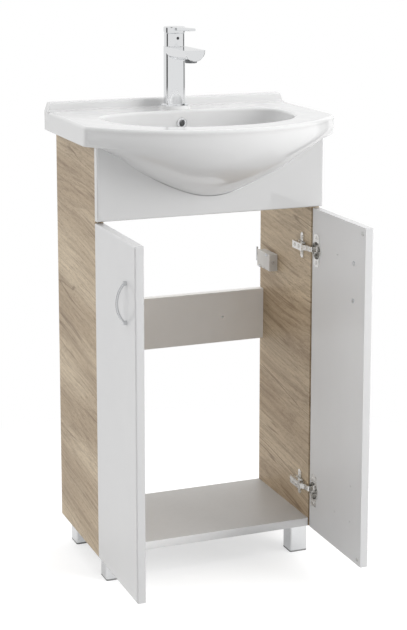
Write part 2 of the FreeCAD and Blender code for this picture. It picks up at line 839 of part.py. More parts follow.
def hinge_arm(height):
    """Arm: a channel over the mounting plate whose strip runs forward and hooks into the cup."""
    web_x = inner_half - arm_height
    mid_x = web_x + strip_thickness / 2
    neck_x = inner_half - neck_inset
    arm_start = front_y + arm_front
    path = [
        (Vector(pivot_x, pivot_y, height), 0),
        (Vector(neck_x, pivot_y, height), 3.0),
        (Vector(neck_x, front_y + arm_front * 0.3, height), 4.0),
        (Vector(mid_x, arm_start, height), 4.0),
        (Vector(mid_x, arm_start + plate_wing_width, height), 0),
    ]
    half = pin_eye_half_length
    section = Part.makePolygon([
        Vector(pivot_x, pivot_y - strip_thickness / 2, height - half),
        Vector(pivot_x, pivot_y + strip_thickness / 2, height - half),
        Vector(pivot_x, pivot_y + strip_thickness / 2, height + half),
        Vector(pivot_x, pivot_y - strip_thickness / 2, height + half),
        Vector(pivot_x, pivot_y - strip_thickness / 2, height - half),
    ])
    neck = rounded_wire(path, False).makePipeShell([section], True, False)
    eye = rod((pivot_x, pivot_y, height - half), (0, 0, 1), pin_eye_radius, 2 * half)
    bore = rod((pivot_x, pivot_y, height - half), (0, 0, 1), pin_radius + running_clearance, 2 * half)
    outer = block((web_x, arm_start, height - arm_half_width),
                  (web_x + arm_flange_depth, arm_start + arm_length, height + arm_half_width))
    rear_edges = [edge for edge in outer.Edges
                  if edge.BoundBox.YMin > arm_start + arm_length - 0.01 and edge.BoundBox.XMax < web_x + 0.01]
    outer = outer.makeFillet(arm_flange_depth * 0.5, rear_edges)
    inner_half_width = arm_half_width - strip_thickness
    inner = block((web_x + strip_thickness, arm_start, height - inner_half_width),
                  (web_x + arm_flange_depth, arm_start + arm_length, height + inner_half_width))
    slope = prism([
        (Vector(web_x + strip_thickness, arm_start, height - arm_half_width), 0),
        (Vector(web_x + arm_flange_depth, arm_start, height - arm_half_width), 0),
        (Vector(web_x + arm_flange_depth, arm_start + plate_wing_width, height - arm_half_width), 0),
    ], Vector(0, 0, 2 * arm_half_width))
    holes = [screw_hole(*spec) for spec in arm_screw_specs(height)]
    return joined([outer.cut([inner, slope]), neck, eye]).cut([bore] + holes)


def arm_screw_specs(height):
    """Fixing and adjusting screw of one arm."""
    web_x = inner_half - arm_height
    return [
        ((web_x, front_y + plate_setback + step, height), (1, 0, 0), hinge_screw_radius, arm_height * 0.6)
        for step in (-plate_base_length * 0.25, plate_base_length * 0.3)
    ]


def plate_screw_specs(height):
    """Screws that fasten one mounting plate to the side panel."""
    return [
        ((inner_half - plate_thickness, front_y + plate_setback, height + step), (1, 0, 0), hinge_screw_radius,
         hinge_screw_length)
        for step in (-plate_screw_spacing / 2, plate_screw_spacing / 2)
    ]


def hinge_plate(height):
    """Cross-shaped mounting plate with the raised block that the arm sits on."""
    centre_y = front_y + plate_setback
    half_wing = plate_wing_width / 2
    half_length = plate_wing_length / 2
    wing_outline = [
        (Vector(inner_half, centre_y + side * half_wing, height + end * half_length), half_wing * 0.8)
        for side, end in ((-1, -1), (1, -1), (1, 1), (-1, 1))
    ]
    wings = prism(wing_outline, Vector(-plate_thickness, 0, 0))
    half_base = plate_base_length / 2
    base = block((inner_half - plate_thickness, centre_y - half_base, height - plate_base_width / 2),
                 (inner_half, centre_y + half_base, height + plate_base_width / 2))
    saddle_half = arm_half_width - strip_thickness - slip_clearance
    saddle = block((inner_half - arm_height + strip_thickness, centre_y - half_base * 0.8, height - saddle_half),
                   (inner_half - plate_thickness, centre_y + half_base, height + saddle_half))
    holes = [screw_hole(*spec) for spec in plate_screw_specs(height) + arm_screw_specs(height)]
    return joined([wings, base, saddle]).cut(holes)


def side_screws():
    """Screw holes in the right side panel."""
    specs = [bracket_screws()[0]] + hanger_side_screws()
    for height in hinge_heights:
        specs += plate_screw_specs(height)
    return specs


def hinge_screws():
    """Plate and arm screws of all hinges."""
    screws = []
    for height in hinge_heights:
        screws += [full_screw(spec) for spec in plate_screw_specs(height) + arm_screw_specs(height)]
    return group(both_sides(screws))


def cup_screws_right():
    """Cup screws of the right door."""
    return group([full_screw(spec) for spec in cup_screw_specs()])


# ---- basin -------------------------------------------------------------------------------------------------
def tapering(share, taper):
    """How much of a hollow form's reach is left at a share of its depth: 1 at the top, 0 at the bottom."""
    inner_power, outer_power = taper
    return (1 - max(share, 0) ** inner_power) ** outer_power


def belly(grow):
    """Outer form of the basin below the rim, which fits between the side panels."""
    top_half_width = inner_half - belly_side_clearance
    wires = []
    for share in belly_levels:
        flare = belly_flare * max(0, 1 - max(share, 0) / belly_flare_share) ** 2
        wires.append(egg_wire(
            top_half_width * tapering(share, belly_side_taper) + flare + grow,
            drain_y,
            belly_front_reach * tapering(share, belly_front_taper) + grow,
            belly_rear_reach * tapering(share, belly_rear_taper) + grow,
            side_top - belly_depth * share,
            belly_rear_power,
        ))
    return Part.makeLoft(wires, True, False)


def bowl_space():
    """The space inside the bowl, which runs a little above the rim."""
    return Part.makeLoft([bowl_wire(share) for share in bowl_levels], True, False)


def bowl_wire(share):
    """The bowl's outline at a share of its depth below the rim; a share below 0 is above the rim."""
    along = tapering(share, bowl_length_taper)
    return egg_wire(bowl_half_width * tapering(share, bowl_side_taper), drain_y, bowl_front_reach * along,
                    bowl_rear_reach * along, rim_z - bowl_depth * share, bowl_rear_power)


def rim_outline(front_cut, height):
    """Plan of the rim: square to the wall, straight sides and one wide bow in front."""
    half = basin_width / 2
    wing_y = front_y - wing_front + front_cut / 2
    tip = Vector(0, front_y - basin_front_reach + front_cut, height)
    rear_left = Vector(-half, back_y, height)
    rear_right = Vector(half, back_y, height)
    left = Vector(-half, wing_y, height)
    right = Vector(half, wing_y, height)
    return Part.Wire([
        Part.LineSegment(rear_left, left).toShape(),
        Part.Arc(left, tip, right).toShape(),
        Part.LineSegment(right, rear_right).toShape(),
        Part.LineSegment(rear_right, rear_left).toShape(),
    ])


def drafted_block():
    """The rim's plan with its corners rounded, drawn in below at one slope down to the belly's bottom."""
    low_z = side_top - belly_depth
    drawn_in = rim_draft * (rim_z - low_z) / rim_thickness
    drafted = Part.makeLoft([rim_outline(drawn_in, low_z), rim_outline(0, rim_z)], True, True)
    corners = []
    for edge in drafted.Edges:
        box = edge.BoundBox
        if box.ZLength > rim_thickness and box.YMax < drain_y:
            corners.append(edge)
    return drafted.makeFillet(wing_corner_radius, corners)


def outer_form():
    """Rim and belly in one: the front runs down into the belly without a step, the wings are flat below."""
    over_cabinet = block((-basin_width, front_y - 2 * basin_front_reach, side_top), (basin_width, back_y, rim_z))
    form = drafted_block().common(over_cabinet.fuse(belly(0)))
    free_top = [edge for edge in edges_at_height(form, rim_z) if edge.BoundBox.YMin < back_y - 0.01]
    return form.makeFillet(rim_edge_radius, free_top)


def upstand():
    """Ledge along the wall with a hollow foot, a rounded top and sloped ends."""
    half = basin_width / 2
    top = rim_z + upstand_height
    foot = back_y - upstand_thickness
    under = rim_z - upstand_round
    length_profile = [
        (Vector(-half, back_y, under), 0),
        (Vector(-half, foot - upstand_round, under), 0),
        (Vector(-half, foot - upstand_round, rim_z), 0),
        (Vector(-half, foot, rim_z), upstand_round * 0.6),
        (Vector(-half, foot + upstand_round * 0.4, top), upstand_round),
        (Vector(-half, back_y, top), upstand_round * 0.3),
    ]
    end_profile = [
        (Vector(-half, back_y - 2 * upstand_thickness, under), 0),
        (Vector(half, back_y - 2 * upstand_thickness, under), 0),
        (Vector(half, back_y - 2 * upstand_thickness, rim_z), 0),
        (Vector(half - upstand_end_slope, back_y - 2 * upstand_thickness, top), upstand_round * 0.7),
        (Vector(upstand_end_slope - half, back_y - 2 * upstand_thickness, top), upstand_round * 0.7),
        (Vector(-half, back_y - 2 * upstand_thickness, rim_z), 0),
    ]
    along_wall = prism(length_profile, Vector(basin_width, 0, 0))
    return along_wall.common(prism(end_profile, Vector(0, 2 * upstand_thickness, 0)))


def tap_pad():
    """Raised round seat for the tap."""
    return Part.makeCone(tap_pad_radius + tap_pad_height, tap_pad_radius, 2 * tap_pad_height,
                         Vector(0, tap_y, rim_z - tap_pad_height))


def overflow_duct(radius):
    """A round duct down the bowl's rear wall and across to the drain."""
    wall_y = drain_y + bowl_rear_reach
    channel_y = wall_y + overflow_channel_radius + overflow_duct_wall * 1.5
    top = Vector(0, channel_y, rim_z - overflow_below_rim)
    bend = Vector(0, channel_y - overflow_channel_radius, side_top - belly_depth * 0.6)
    outlet = Vector(0, drain_y, side_top - belly_depth)
    down = rod(top, bend - top, radius, (bend - top).Length)
    across = rod(bend, outlet - bend, radius, (outlet - bend).Length)
    return [down, Part.makeSphere(radius, bend), across]


def overflow_passage():
    """Overflow hole in the bowl's rear wall and the channel from it to the drain."""
    wall_y = drain_y + bowl_rear_reach
    hole = rod((0, wall_y - 2 * overflow_radius, rim_z - overflow_below_rim), (0, 1, 0), overflow_radius,
               overflow_channel_radius + overflow_duct_wall * 1.5 + 2 * overflow_radius)
    return [hole] + overflow_duct(overflow_channel_radius)


def basin_niches():
    """Recesses below the rim: one round the tap's stud and one for each wall bolt."""
    tap_niche = block((-clamp_half_width * 1.6, tap_y - tap_hole_radius, side_top - belly_depth),
                      (clamp_half_width * 1.6, tap_y + clamp_half_width, deck_underside))
    bolt_x = wall_bolt_spacing / 2
    bolt_niche = block((bolt_x - niche_depth, back_y - niche_wall - niche_depth, side_top),
                       (bolt_x + niche_depth, back_y - niche_wall, side_top + niche_depth))
    bolt_hole = rod((bolt_x, back_y, rim_z - wall_bolt_below_rim), (0, -1, 0), wall_bolt_hole_radius,
                    niche_wall)
    return [tap_niche] + both_sides([bolt_niche, bolt_hole])


def cabinet_seat():
    """What the cabinet's sides take away from the basin's flare, so that its rim can rest on them."""
    clear = inner_half - belly_side_clearance
    seat = block((clear, front_y - slip_clearance, side_top - belly_depth), (basin_width, back_y, side_top))
    return group(both_sides([seat]))


def basin():
    """The whole ceramic basin."""
    outlet_bottom = side_top - belly_depth - drain_outlet_drop
    outlet = rod((0, drain_y, outlet_bottom), (0, 0, 1), drain_outlet_radius, drain_outlet_drop + niche_depth)
    duct = overflow_duct(overflow_channel_radius + overflow_duct_wall)
    body = outer_form().fuse([outlet, upstand(), tap_pad()] + duct)
    drain = rod((0, drain_y, outlet_bottom), (0, 0, 1), drain_radius, belly_depth)
    tap_hole = rod((0, tap_y, deck_underside), (0, 0, 1), tap_hole_radius, tap_deck_thickness)
    body = body.cut([bowl_space()])
    lip = [edge for edge in edges_at_height(body, rim_z)
           if edge.BoundBox.XLength > bowl_half_width and edge.BoundBox.XMax < bowl_half_width + 1]
    body = body.makeFillet(bowl_lip_radius, lip)
    cuts = [drain, tap_hole, cabinet_seat()] + overflow_passage() + basin_niches()
    return body.cut(cuts).removeSplitter()


def overflow_ring():
    """Chromed ring pressed into the overflow hole."""
    lowest_share = (overflow_below_rim + overflow_ring_radius) / bowl_depth
    wall_y = drain_y + bowl_rear_reach * tapering(lowest_share, bowl_length_taper)
    inner = overflow_radius - 1.2
    profile = [
        (inner, -overflow_tube_length),
        (overflow_radius - fastener_clearance, -overflow_tube_length),
        (overflow_radius - fastener_clearance, 0),
        (overflow_ring_radius, 0),
        (overflow_ring_radius, overflow_ring_thickness * 0.4),
        (overflow_ring_radius * 0.85, overflow_ring_thickness),
        (inner + 0.8, overflow_ring_thickness),
        (inner, overflow_ring_thickness * 0.6),
    ]
    return turned(profile, (0, wall_y - slip_clearance, rim_z - overflow_below_rim), (0, -1, 0))


# ---- tap ---------------------------------------------------------------------------------------------------
def tap_base_ring():
    """Flat ring between the tap's body and the basin."""
    profile = [
        (tap_hole_radius - clamp_thickness, 0),
        (tap_ring_radius, 0),
        (tap_ring_radius, tap_ring_height * 0.5),
        (tap_ring_radius - tap_ring_height * 0.4, tap_ring_height * 0.85),
        (tap_body_radius + 1, tap_ring_height),
        (tap_hole_radius - clamp_thickness, tap_ring_height),
    ]
    return turned(profile, (0, tap_y, pad_top), (0, 0, 1))


def spout():
    """Half-round spout, flat on top, whose round underside rises a little to the bevelled tip."""
    root = Vector(0, tap_y, body_top - spout_root_depth + spout_radius)
    tip = Vector(0, tap_y - spout_reach, body_top - spout_tip_depth + spout_radius)
    bar = Part.makeCylinder(spout_radius, (tip - root).Length, root, tip - root)
    end_edge = [edge for edge in bar.Edges if edge.BoundBox.YMax < tap_y - spout_reach + spout_radius / 2]
    bar = bar.makeChamfer(spout_tip_bevel, end_edge)
    over = block((-2 * spout_radius, tap_y - 2 * spout_reach, body_top),
                 (2 * spout_radius, back_y, body_top + 2 * spout_radius))
    return bar.cut(over)


def tap_body():
    """Upright body with the half-round spout that grows out of its top."""
    column = rod((0, tap_y, body_bottom), (0, 0, 1), tap_body_radius, tap_body_height)
    socket = rod((0, tap_y, body_top - spigot_length - head_gap), (0, 0, 1),
                 spigot_radius + running_clearance, spigot_length + head_gap)
    stud_bore = rod((0, tap_y, body_bottom), (0, 0, 1), stud_radius + fastener_clearance, stud_bite)
    aerator_seat = rod((0, tap_y - aerator_from_axis, body_top - spout_tip_depth - 2 * aerator_drop), (0, 0, 1),
                       aerator_radius + fastener_clearance, aerator_height + aerator_drop)
    return joined([column, spout()]).cut([socket, stud_bore, aerator_seat])


def tap_aerator():
    """Aerator under the spout's tip."""
    bottom = body_top - spout_tip_depth - 2 * aerator_drop
    profile = [
        (0, 2.0),
        (aerator_radius - 3.0, 2.0),
        (aerator_radius - 2.0, 0),
        (aerator_radius - 0.8, 0),
        (aerator_radius, 0.8),
        (aerator_radius, aerator_height),
        (0, aerator_height),
    ]
    return turned(profile, (0, tap_y - aerator_from_axis, bottom), (0, 0, 1))


def tap_head():
    """Turning head: a drum on a spigot, slotted at the top for the lever's neck."""
    profile = [
        (0, -spigot_length),
        (spigot_radius, -spigot_length),
        (spigot_radius, 0),
        (head_radius, 0),
        (head_radius, head_height - 1.0),
        (head_radius - 1.0, head_height),
        (0, head_height),
    ]
    drum = turned(profile, (0, tap_y, head_bottom), (0, 0, 1))
    slot_half = lever_neck_half + 3 * slip_clearance
    slot_reach = lever_neck_half * 1.6
    slot = block((-slot_half, tap_y - slot_reach, lever_pivot_z - slot_reach),
                 (slot_half, tap_y + slot_reach, head_top))
    pin_bore = rod((-lever_pin_half_length(), tap_y, lever_pivot_z), (1, 0, 0), lever_pin_radius,
                   2 * lever_pin_half_length())
    plug_seat = rod((0, tap_y - head_radius, head_bottom + head_height * 0.62), (0, 1, 0),
                    plug_radius + fastener_clearance, 3.0)
    return drum.cut([slot, pin_bore, plug_seat])


def tap_plug():
    """Small plug that covers the head's set screw."""
    return rod((0, tap_y - head_radius, head_bottom + head_height * 0.62), (0, 1, 0), plug_radius, 3.0)


def lever_pin_half_length():
    """Half the length of the lever's pin."""
    return head_radius * 0.8


def tap_lever_pin():
    """Pin through the head that carries the lever."""
    half = lever_pin_half_length()
    return rod((-half, tap_y, lever_pivot_z), (1, 0, 0), lever_pin_radius, 2 * half)


def lever_section(y, width, low, high):
    """Upright oblong section of the lever's paddle with bevelled corners."""
    half = width / 2
    corners = []
    for across, up in ((-1, -1), (1, -1), (1, 1), (-1, 1)):
        z = high if up > 0 else low
        on_level = Vector(across * (half - lever_bevel), y, z)
        on_side = Vector(across * half, y, z - up * lever_bevel)
        corners += [on_side, on_level] if across * up > 0 else [on_level, on_side]
    corners.reverse()
    return Part.makePolygon(corners + [corners[0]])


def tap_lever():
    """Lever: a thick cap with a paddle to the front, relieved behind so that it can be lifted."""
    cap = rod((0, tap_y, lever_bottom), (0, 0, 1), lever_radius, lever_height)
    cap = cap.makeChamfer(lever_bevel, edges_at_height(cap, lever_top))
    tip_top = lever_top + lever_tip_rise
    paddle = Part.makeLoft([
        lever_section(tap_y, lever_root_width, lever_top - lever_height * 0.7, lever_top - 0.2),
        lever_section(tap_y - lever_reach, lever_tip_width, tip_top - lever_tip_thickness, tip_top),
    ], True, True)
    neck = block((-lever_neck_half, tap_y - lever_neck_half, lever_pivot_z - lever_neck_half),
                 (lever_neck_half, tap_y + lever_neck_half, lever_bottom + lever_height / 2))
    relief = block((-2 * lever_radius, tap_y - 2 * lever_radius, lever_pivot_z - 2 * lever_radius),
                   (2 * lever_radius, tap_y + 2 * lever_radius, lever_bottom))
    relief.rotate(Vector(0, tap_y, lever_pivot_z), Vector(1, 0, 0), lever_lift_degrees + 1)
    cap = cap.cut(relief)
    pin_bore = rod((-lever_neck_half, tap_y, lever_pivot_z), (1, 0, 0), lever_pin_radius + running_clearance,
                   2 * lever_neck_half)
    return joined([cap, paddle, neck]).cut(pin_bore)


def clamp_outline(height):
    """Outline of the clamp washer and its gasket."""
    return [
        (Vector(side * clamp_half_width, tap_y + end * clamp_half_depth, height), clamp_half_depth * 0.6)
        for side, end in ((-1, -1), (1, -1), (1, 1), (-1, 1))
    ]


def tap_stud_hole():
    """The hole that the tap's stud needs below the deck."""
    return rod((0, tap_y, deck_underside - gasket_thickness - clamp_thickness), (0, 0, 1),
               stud_radius + slip_clearance, gasket_thickness + clamp_thickness)


def tap_gasket():
    """Rubber gasket between the clamp washer and the ceramic."""
    height = deck_underside - gasket_thickness
    return prism(clamp_outline(height), Vector(0, 0, gasket_thickness)).cut(tap_stud_hole())


def tap_clamp():
    """Steel clamp washer."""
    height = deck_underside - gasket_thickness - clamp_thickness
    return prism(clamp_outline(height), Vector(0, 0, clamp_thickness)).cut(tap_stud_hole())


def tap_nut():
    """Hexagon nut on the stud."""
    top = deck_underside - gasket_thickness - clamp_thickness
    radius = nut_across_flats / math.sqrt(3)
    corners = []
    for step in range(6):
        angle = math.radians(60 * step)
        corners.append((Vector(radius * math.cos(angle), tap_y + radius * math.sin(angle), top - nut_height), 0))
    bore = rod((0, tap_y, top - nut_height), (0, 0, 1), stud_radius + fastener_clearance, nut_height)
    return prism(corners, Vector(0, 0, nut_height)).cut(bore)


def tap_stud():
    """Threaded stud that pulls the tap down."""
    bottom = deck_underside - gasket_thickness - clamp_thickness - 2 * nut_height
    top = body_bottom + stud_bite - slip_clearance
    return rod((0, tap_y, bottom), (0, 0, 1), stud_radius, top - bottom)


# ---- all nodes -----------------------------------------------------------------------------------------------
def all_nodes():
    """Every node's name and shape."""
    right_side = side_panel_right()
    nodes = {
        "side_panel_right": right_side,
        "side_panel_left": other_side(right_side),
        "bottom_panel": bottom_panel(),
        "back_rail": back_rail(),
        "front_panel": front_panel(),
        "cam_locks": cam_locks(),
        "cam_bolts": cam_bolts(),
        "dowels": dowels(),
        "panel_pins": panel_pins(),
        "corner_brackets": corner_brackets(),
        "bracket_screws": bracket_fasteners(),
        "hanger_screws": hanger_screws(),
        "leg_front_right": leg(False),
        "leg_rear_right": leg(True),
        "leg_front_left": other_side(leg(False)),
        "leg_rear_left": other_side(leg(True)),
        "leg_glides": leg_glides(),
        "leg_screws": leg_screws(),
        "hinge_screws": hinge_screws(),
        "basin": basin(),
        "overflow_ring": overflow_ring(),
        "tap_base_ring": tap_base_ring(),
        "tap_body": tap_body(),
        "tap_aerator": tap_aerator(),
        "tap_head": tap_head(),
        "tap_plug": tap_plug(),
        "tap_lever_pin": tap_lever_pin(),
        "tap_lever": tap_lever(),
        "tap_gasket": tap_gasket(),
        "tap_clamp": tap_clamp(),
        "tap_nut": tap_nut(),
        "tap_stud": tap_stud(),
    }
    paired = {
        "hanger_housing": hanger_housing(),
        "hanger_hook": hanger_hook(),
        "door": door_right(),
        "handle": handle_right(),
        "handle_screws": handle_screws_right(),
        "door_buffers": door_buffers_right(),
        "cup_screws": cup_screws_right(),
    }
    for level, height in zip(("low", "high"), hinge_heights):
        paired["hinge_plate_" + level] = hinge_plate(height)
        paired["hinge_arm_" + level] = hinge_arm(height)
        paired["hinge_cup_" + level] = hinge_cup(height)
    paired["hinge_pins"] = group([hinge_pin(height) for height in hinge_heights])
    for name, shape in paired.items():
        nodes[name + "_right"] = shape
        nodes[name + "_left"] = other_side(shape)
    return nodes


def export_all():
    """Write one file per node."""
    os.makedirs("parts", exist_ok=True)
    for name, shape in all_nodes().items():
        shape.exportStep("parts/" + name + ".step")


export_all()
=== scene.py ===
"""Dresses the washbasin cabinet: studio, finishes, and the fine pieces that show up close.

Every length is in metres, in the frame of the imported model: +X to the right of someone who faces the doors,
+Y to the wall, +Z up, the origin on the floor.
"""
import json
import logging
import math
from dataclasses import dataclass, field
from enum import Enum
from typing import Callable, ClassVar, Mapping, Optional, Sequence, Union

import bmesh
import bpy
from mathutils import Matrix, Vector


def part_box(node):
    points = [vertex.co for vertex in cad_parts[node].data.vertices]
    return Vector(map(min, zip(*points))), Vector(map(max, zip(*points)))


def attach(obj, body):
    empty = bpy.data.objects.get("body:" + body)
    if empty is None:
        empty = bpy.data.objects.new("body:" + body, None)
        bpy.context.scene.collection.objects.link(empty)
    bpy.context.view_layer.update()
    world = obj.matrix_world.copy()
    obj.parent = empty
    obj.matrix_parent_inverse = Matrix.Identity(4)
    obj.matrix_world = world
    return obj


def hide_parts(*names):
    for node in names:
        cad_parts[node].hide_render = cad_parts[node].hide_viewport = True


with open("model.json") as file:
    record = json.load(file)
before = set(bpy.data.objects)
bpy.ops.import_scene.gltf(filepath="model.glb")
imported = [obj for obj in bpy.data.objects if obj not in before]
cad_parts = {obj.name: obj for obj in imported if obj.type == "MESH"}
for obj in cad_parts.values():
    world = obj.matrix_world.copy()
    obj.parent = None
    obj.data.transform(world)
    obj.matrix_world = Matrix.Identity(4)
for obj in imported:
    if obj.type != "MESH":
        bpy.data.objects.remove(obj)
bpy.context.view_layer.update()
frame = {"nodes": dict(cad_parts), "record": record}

log = logging.getLogger("washbasin_cabinet")

Colour = tuple[float, float, float]
Triple = tuple[float, float, float]
Feed = Union[bpy.types.NodeSocket, float, Sequence[float]]


def linear(red: float, green: float, blue: float) -> Colour:
    """Turns a colour as it is seen on screen into scene-linear values.

    Args:
        red: Red, 0 to 1.
        green: Green, 0 to 1.
        blue: Blue, 0 to 1.

    Returns:
        The three linear values.
    """
    def one(value: float) -> float:
        """One channel."""
        return value / 12.92 if value <= 0.04045 else ((value + 0.055) / 1.055) ** 2.4

    return one(red), one(green), one(blue)


# ---- shader building
def wire(tree: bpy.types.NodeTree, kind: str, inputs: Optional[Mapping[Union[str, int], Feed]] = None,
         **settings: object) -> bpy.types.Node:
    """Adds a node, sets its properties and feeds its inputs.

    Args:
        tree: The node tree.
        kind: The node's type name without the ShaderNode part.
        inputs: By socket, another node's output to link or a value to set.
        **settings: Properties of the node.

    Returns:
        The node.
    """
    made = tree.nodes.new("ShaderNode" + kind)
    for name, value in settings.items():
        setattr(made, name, value)
    for name, value in (inputs or {}).items():
        socket = made.inputs[name]
        if isinstance(value, bpy.types.NodeSocket):
            tree.links.new(value, socket)
        elif socket.type == "RGBA" and len(value) == 3:
            socket.default_value = (*value, 1.0)
        else:
            socket.default_value = value
    return made


def reckon(tree: bpy.types.NodeTree, kind: str, *numbers: Feed) -> bpy.types.NodeSocket:
    """Adds a sum of the named operation.

    Args:
        tree: The node tree.
        kind: The operation.
        *numbers: What it works on, one to three of them.

    Returns:
        The result.
    """
    return wire(tree, "Math", dict(enumerate(numbers)), operation=kind).outputs["Value"]


class Effect(Enum):
    """Shared surface effects, each one node group."""

    MOTTLE = "surface_mottle"
    RIPPLE = "surface_ripple"
    BRUSHED = "brushed_lines"
    WOOD = "wood_figure"
    SPECKS = "fine_specks"


@dataclass(frozen=True)
class Layer:
    """Noise with its cells per metre along and across the grain, and the part of it that is used."""

    along: float
    across: float
    detail: float
    roughness: float = 0.5
    low: float = 0.0
    high: float = 1.0
    smooth: bool = False


FLOAT = "NodeSocketFloat"
VECTOR = "NodeSocketVector"
COLOUR = "NodeSocketColor"


@dataclass
class GroupSheet:
    """A node group under construction, with its named sockets."""

    effect: Effect
    inputs: Sequence[tuple[str, str, object]]
    outputs: Sequence[tuple[str, str]]

    def __post_init__(self) -> None:
        """Makes the group with its sockets."""
        self.tree = bpy.data.node_groups.new(self.effect.value, "ShaderNodeTree")
        for name, kind, default in self.inputs:
            socket = self.tree.interface.new_socket(name=name, in_out="INPUT", socket_type=kind)
            if default is not None:
                socket.default_value = default
        for name, kind in self.outputs:
            self.tree.interface.new_socket(name=name, in_out="OUTPUT", socket_type=kind)
        self.entry = self.tree.nodes.new("NodeGroupInput").outputs
        self.leave = self.tree.nodes.new("NodeGroupOutput").inputs

    def node(self, kind: str, inputs: Optional[Mapping[Union[str, int], Feed]] = None,
             **settings: object) -> bpy.types.Node:
        """Adds a node to the group, as wire() does."""
        return wire(self.tree, kind, inputs, **settings)

    def sum(self, kind: str, *numbers: Feed) -> bpy.types.NodeSocket:
        """A sum of the named operation, as reckon() makes it."""
        return reckon(self.tree, kind, *numbers)

    def product(self, first: Feed, *others: Feed) -> bpy.types.NodeSocket:
        """The first number times each of the others."""
        for other in others:
            first = self.sum("MULTIPLY", first, other)
        return first

    def vector(self, kind: str, first: Feed, second: Feed) -> bpy.types.NodeSocket:
        """A vector sum of the named operation."""
        return self.node("VectorMath", {0: first, 1: second}, operation=kind).outputs["Vector"]

    def spread(self, value: Feed, low: float, high: float, smooth: bool = False) -> bpy.types.NodeSocket:
        """Stretches low to high into 0 to 1."""
        shape = "SMOOTHSTEP" if smooth else "LINEAR"
        made = self.node("MapRange", {"Value": value, "From Min": low, "From Max": high},
                         interpolation_type=shape)
        return made.outputs["Result"]

    def noise(self, vector: Feed, layer: Layer) -> bpy.types.NodeOutputs:
        """The layer's noise as it is."""
        place = self.vector("MULTIPLY", vector, (layer.along, layer.across, layer.across))
        return self.node("TexNoise", {"Vector": place, "Scale": 1.0, "Detail": layer.detail,
                                      "Roughness": layer.roughness}).outputs

    def layer(self, vector: Feed, layer: Layer) -> bpy.types.NodeSocket:
        """The used part of the layer's noise, spread to 0 to 1."""
        return self.spread(self.noise(vector, layer)["Fac"], layer.low, layer.high, layer.smooth)

    def blend(self, share: Feed, first: Feed, second: Feed) -> bpy.types.NodeSocket:
        """Mixes two colours."""
        made = self.node("Mix", {"Factor": share, "A": first, "B": second}, data_type="RGBA")
        return made.outputs["Result"]

    def give(self, **outputs: bpy.types.NodeSocket) -> bpy.types.NodeTree:
        """Links the results to the group's outputs and returns the group."""
        for name, source in outputs.items():
            self.tree.links.new(source, self.leave[name.replace("_", " ")])
        return self.tree


